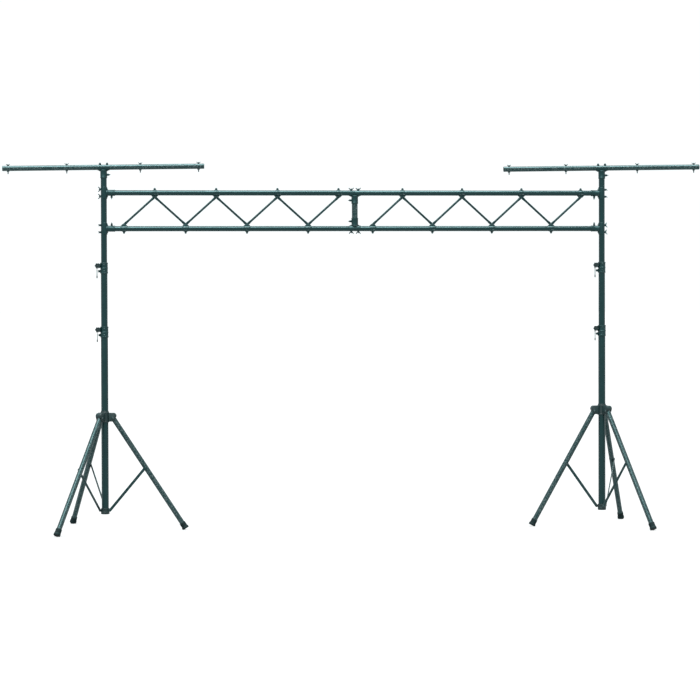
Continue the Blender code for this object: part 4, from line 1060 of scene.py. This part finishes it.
def all_meshes():
    """The meshes that more than one piece shares, by name."""
    meshes = {
        "wing_nut": wing_nut_mesh(),
        "wing_screw": wing_screw_mesh(),
        "dome_nut": dome_nut_mesh(),
        "rivet": rivet_mesh(),
        "bolt_head": washered(hexagon(0.0124, 0.0008, 0.0041),
                              rod(0.0068, -0.0002, 0.0009, 28, edge=0.0002)),
        "bolt_end": taken(thread(0.0029, 0.007, 0.012)),
        "small_wing_nut": wing_nut_mesh(SMALL_WING_NUT),
        "node_head": taken(hexagon(0.0108, -0.0002, 0.0036)),
        "pivot_nut": taken(hexagon(0.012, -0.0002, 0.002)),
        "stud_nut": washered(hexagon(0.013, 0.0, 0.005), rod(0.003, 0.001, 0.0066, 20, edge=0.0005)),
        "fixture_bolt": fixture_bolt_mesh(),
        "fixture_nut": washered(hexagon(0.0143, -BAR_R - 0.006, -BAR_R - 0.0008),
                                rod(0.0078, -BAR_R - 0.001, -BAR_R + 0.0008, 28, edge=0.0003)),
        "lower_clamp": clamp_mesh(BASE_R, MID_R),
        "upper_clamp": clamp_mesh(MID_R, TOP_R),
        "knob": knob_mesh(),
        "leg": leg_mesh(),
        "brace": brace_mesh(),
        "leg_hub": leg_hub_mesh(),
        "foot_collar": foot_collar_mesh(),
        "t_bar": t_bar_mesh(),
        "end_cap": end_cap_mesh(),
        "t_bar_tee": tee_mesh(BAR_R, TOP_R, 0, 0.001),
        "tee_plus": tee_mesh(TOP_R, CHORD_R, 1),
        "tee_minus": tee_mesh(TOP_R, CHORD_R, -1),
        "middle_tee": tee_mesh(CHORD_R, POST_R, -1),
        "gusset": gusset_mesh(),
        "washer": washer_mesh(),
    }
    meshes["pin_ring"], meshes["pin"], meshes["pin_grip"] = pin_meshes()
    for name, mesh in meshes.items():
        mesh.name = name
    return meshes


# ---- floor, light and camera


FLOOR_TONES = ((0.62, 0.62, 0.62), (0.64, 0.64, 0.64))
FLOOR_RADIUS = 400
# elevation, azimuth, width in degrees, and power
FRONT_SUN = (46, -28, 30, 2.2)
TOP_SUN = (78, 0, 40, 7.0)
FLOOR_SUN = (90, 0, 10, 2.4)
LENS = 119.7
CAMERA_PLACE = Vector((-1.08, -14.21, 1.367))  # from the middle of the stands' axes
CAMERA_YAW, CAMERA_PITCH, CAMERA_ROLL = -4.22, -1.12, -0.16


def floor():
    """A plain pale floor that runs past the edge of the picture."""
    made = Nodes("studio_floor")
    tone = made.mix(made.cloudy(0.5, 2), *FLOOR_TONES)
    rough = made.cloudy(3, 2, 0.85, 0.95)
    material = made.finish(tone, rough, 0.0, 0.0)
    bm = bmesh.new()
    bmesh.ops.create_circle(bm, cap_ends=True, segments=96, radius=FLOOR_RADIUS)
    obj = solid(bm, placed((0, 0, -0.0005)))
    obj.name = "studio_floor"
    obj.data.materials.append(material)
    return obj


def sun(name, setting, lit, blockers=None):
    """A soft sun on the things in lit. Its azimuth is measured from the front, positive to the right."""
    elevation, azimuth, width, power = setting
    data = bpy.data.lights.new(name, "SUN")
    data.angle = radians(width)
    data.energy = power
    lamp = shown(name, data)
    lamp.matrix_world = placed((0, -2, 5), (90 - elevation, 0, azimuth))
    lamp.light_linking.receiver_collection = lit
    if blockers:
        lamp.light_linking.blocker_collection = blockers


def lights(ground):
    """An even white room, two suns that light all but the floor, and one without shadows for the floor."""
    lit = bpy.data.collections.new("lit_by_the_suns")
    lit.objects.link(ground)
    lit.collection_objects[0].light_linking.link_state = "EXCLUDE"
    floor_only = bpy.data.collections.new("floor_only")
    floor_only.objects.link(ground)
    world = bpy.data.worlds.new("studio")
    bpy.context.scene.world = world
    world.use_nodes = True
    background = world.node_tree.nodes["Background"]
    background.inputs["Color"].default_value = (*ROOM_TINT, 1.0)
    background.inputs["Strength"].default_value = 1.0
    sun("front_sun", FRONT_SUN, lit)
    sun("top_sun", TOP_SUN, lit)
    sun("floor_sun", FLOOR_SUN, floor_only, floor_only)
    bpy.context.scene.view_settings.view_transform = "Standard"


def camera(axes):
    """A long lens in front of the left half of the truss, a little below the chords."""
    data = bpy.data.cameras.new("camera")
    data.sensor_width = 36
    data.lens = LENS
    data.clip_end = 500
    obj = shown("camera", data)
    middle = (axes["left"] + axes["right"]) / 2
    yaw, pitch, roll = (radians(a) for a in (CAMERA_YAW, CAMERA_PITCH, CAMERA_ROLL))
    upright = Matrix.Rotation(radians(90), 4, "X")
    aimed = Matrix.Rotation(yaw, 4, "Z") @ Matrix.Rotation(pitch, 4, "X") @ upright
    turn = aimed @ Matrix.Rotation(roll, 4, "Z")
    obj.matrix_world = placed(middle + CAMERA_PLACE) @ turn
    bpy.context.scene.camera = obj


# ---- the scene

chord_boxes = {level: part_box(f"left_{level}_chord") for level in ("top", "bottom")}
CHORD_SPACING = chord_boxes["top"][0].z - chord_boxes["bottom"][0].z
MESHES = all_meshes()
AXES = {}
for stand in ("left", "right"):
    AXES[stand] = build_mast(stand)
    build_tripod(stand, AXES[stand])
    build_t_bar(stand, AXES[stand])
build_truss(AXES)
lights(floor())
camera(AXES)
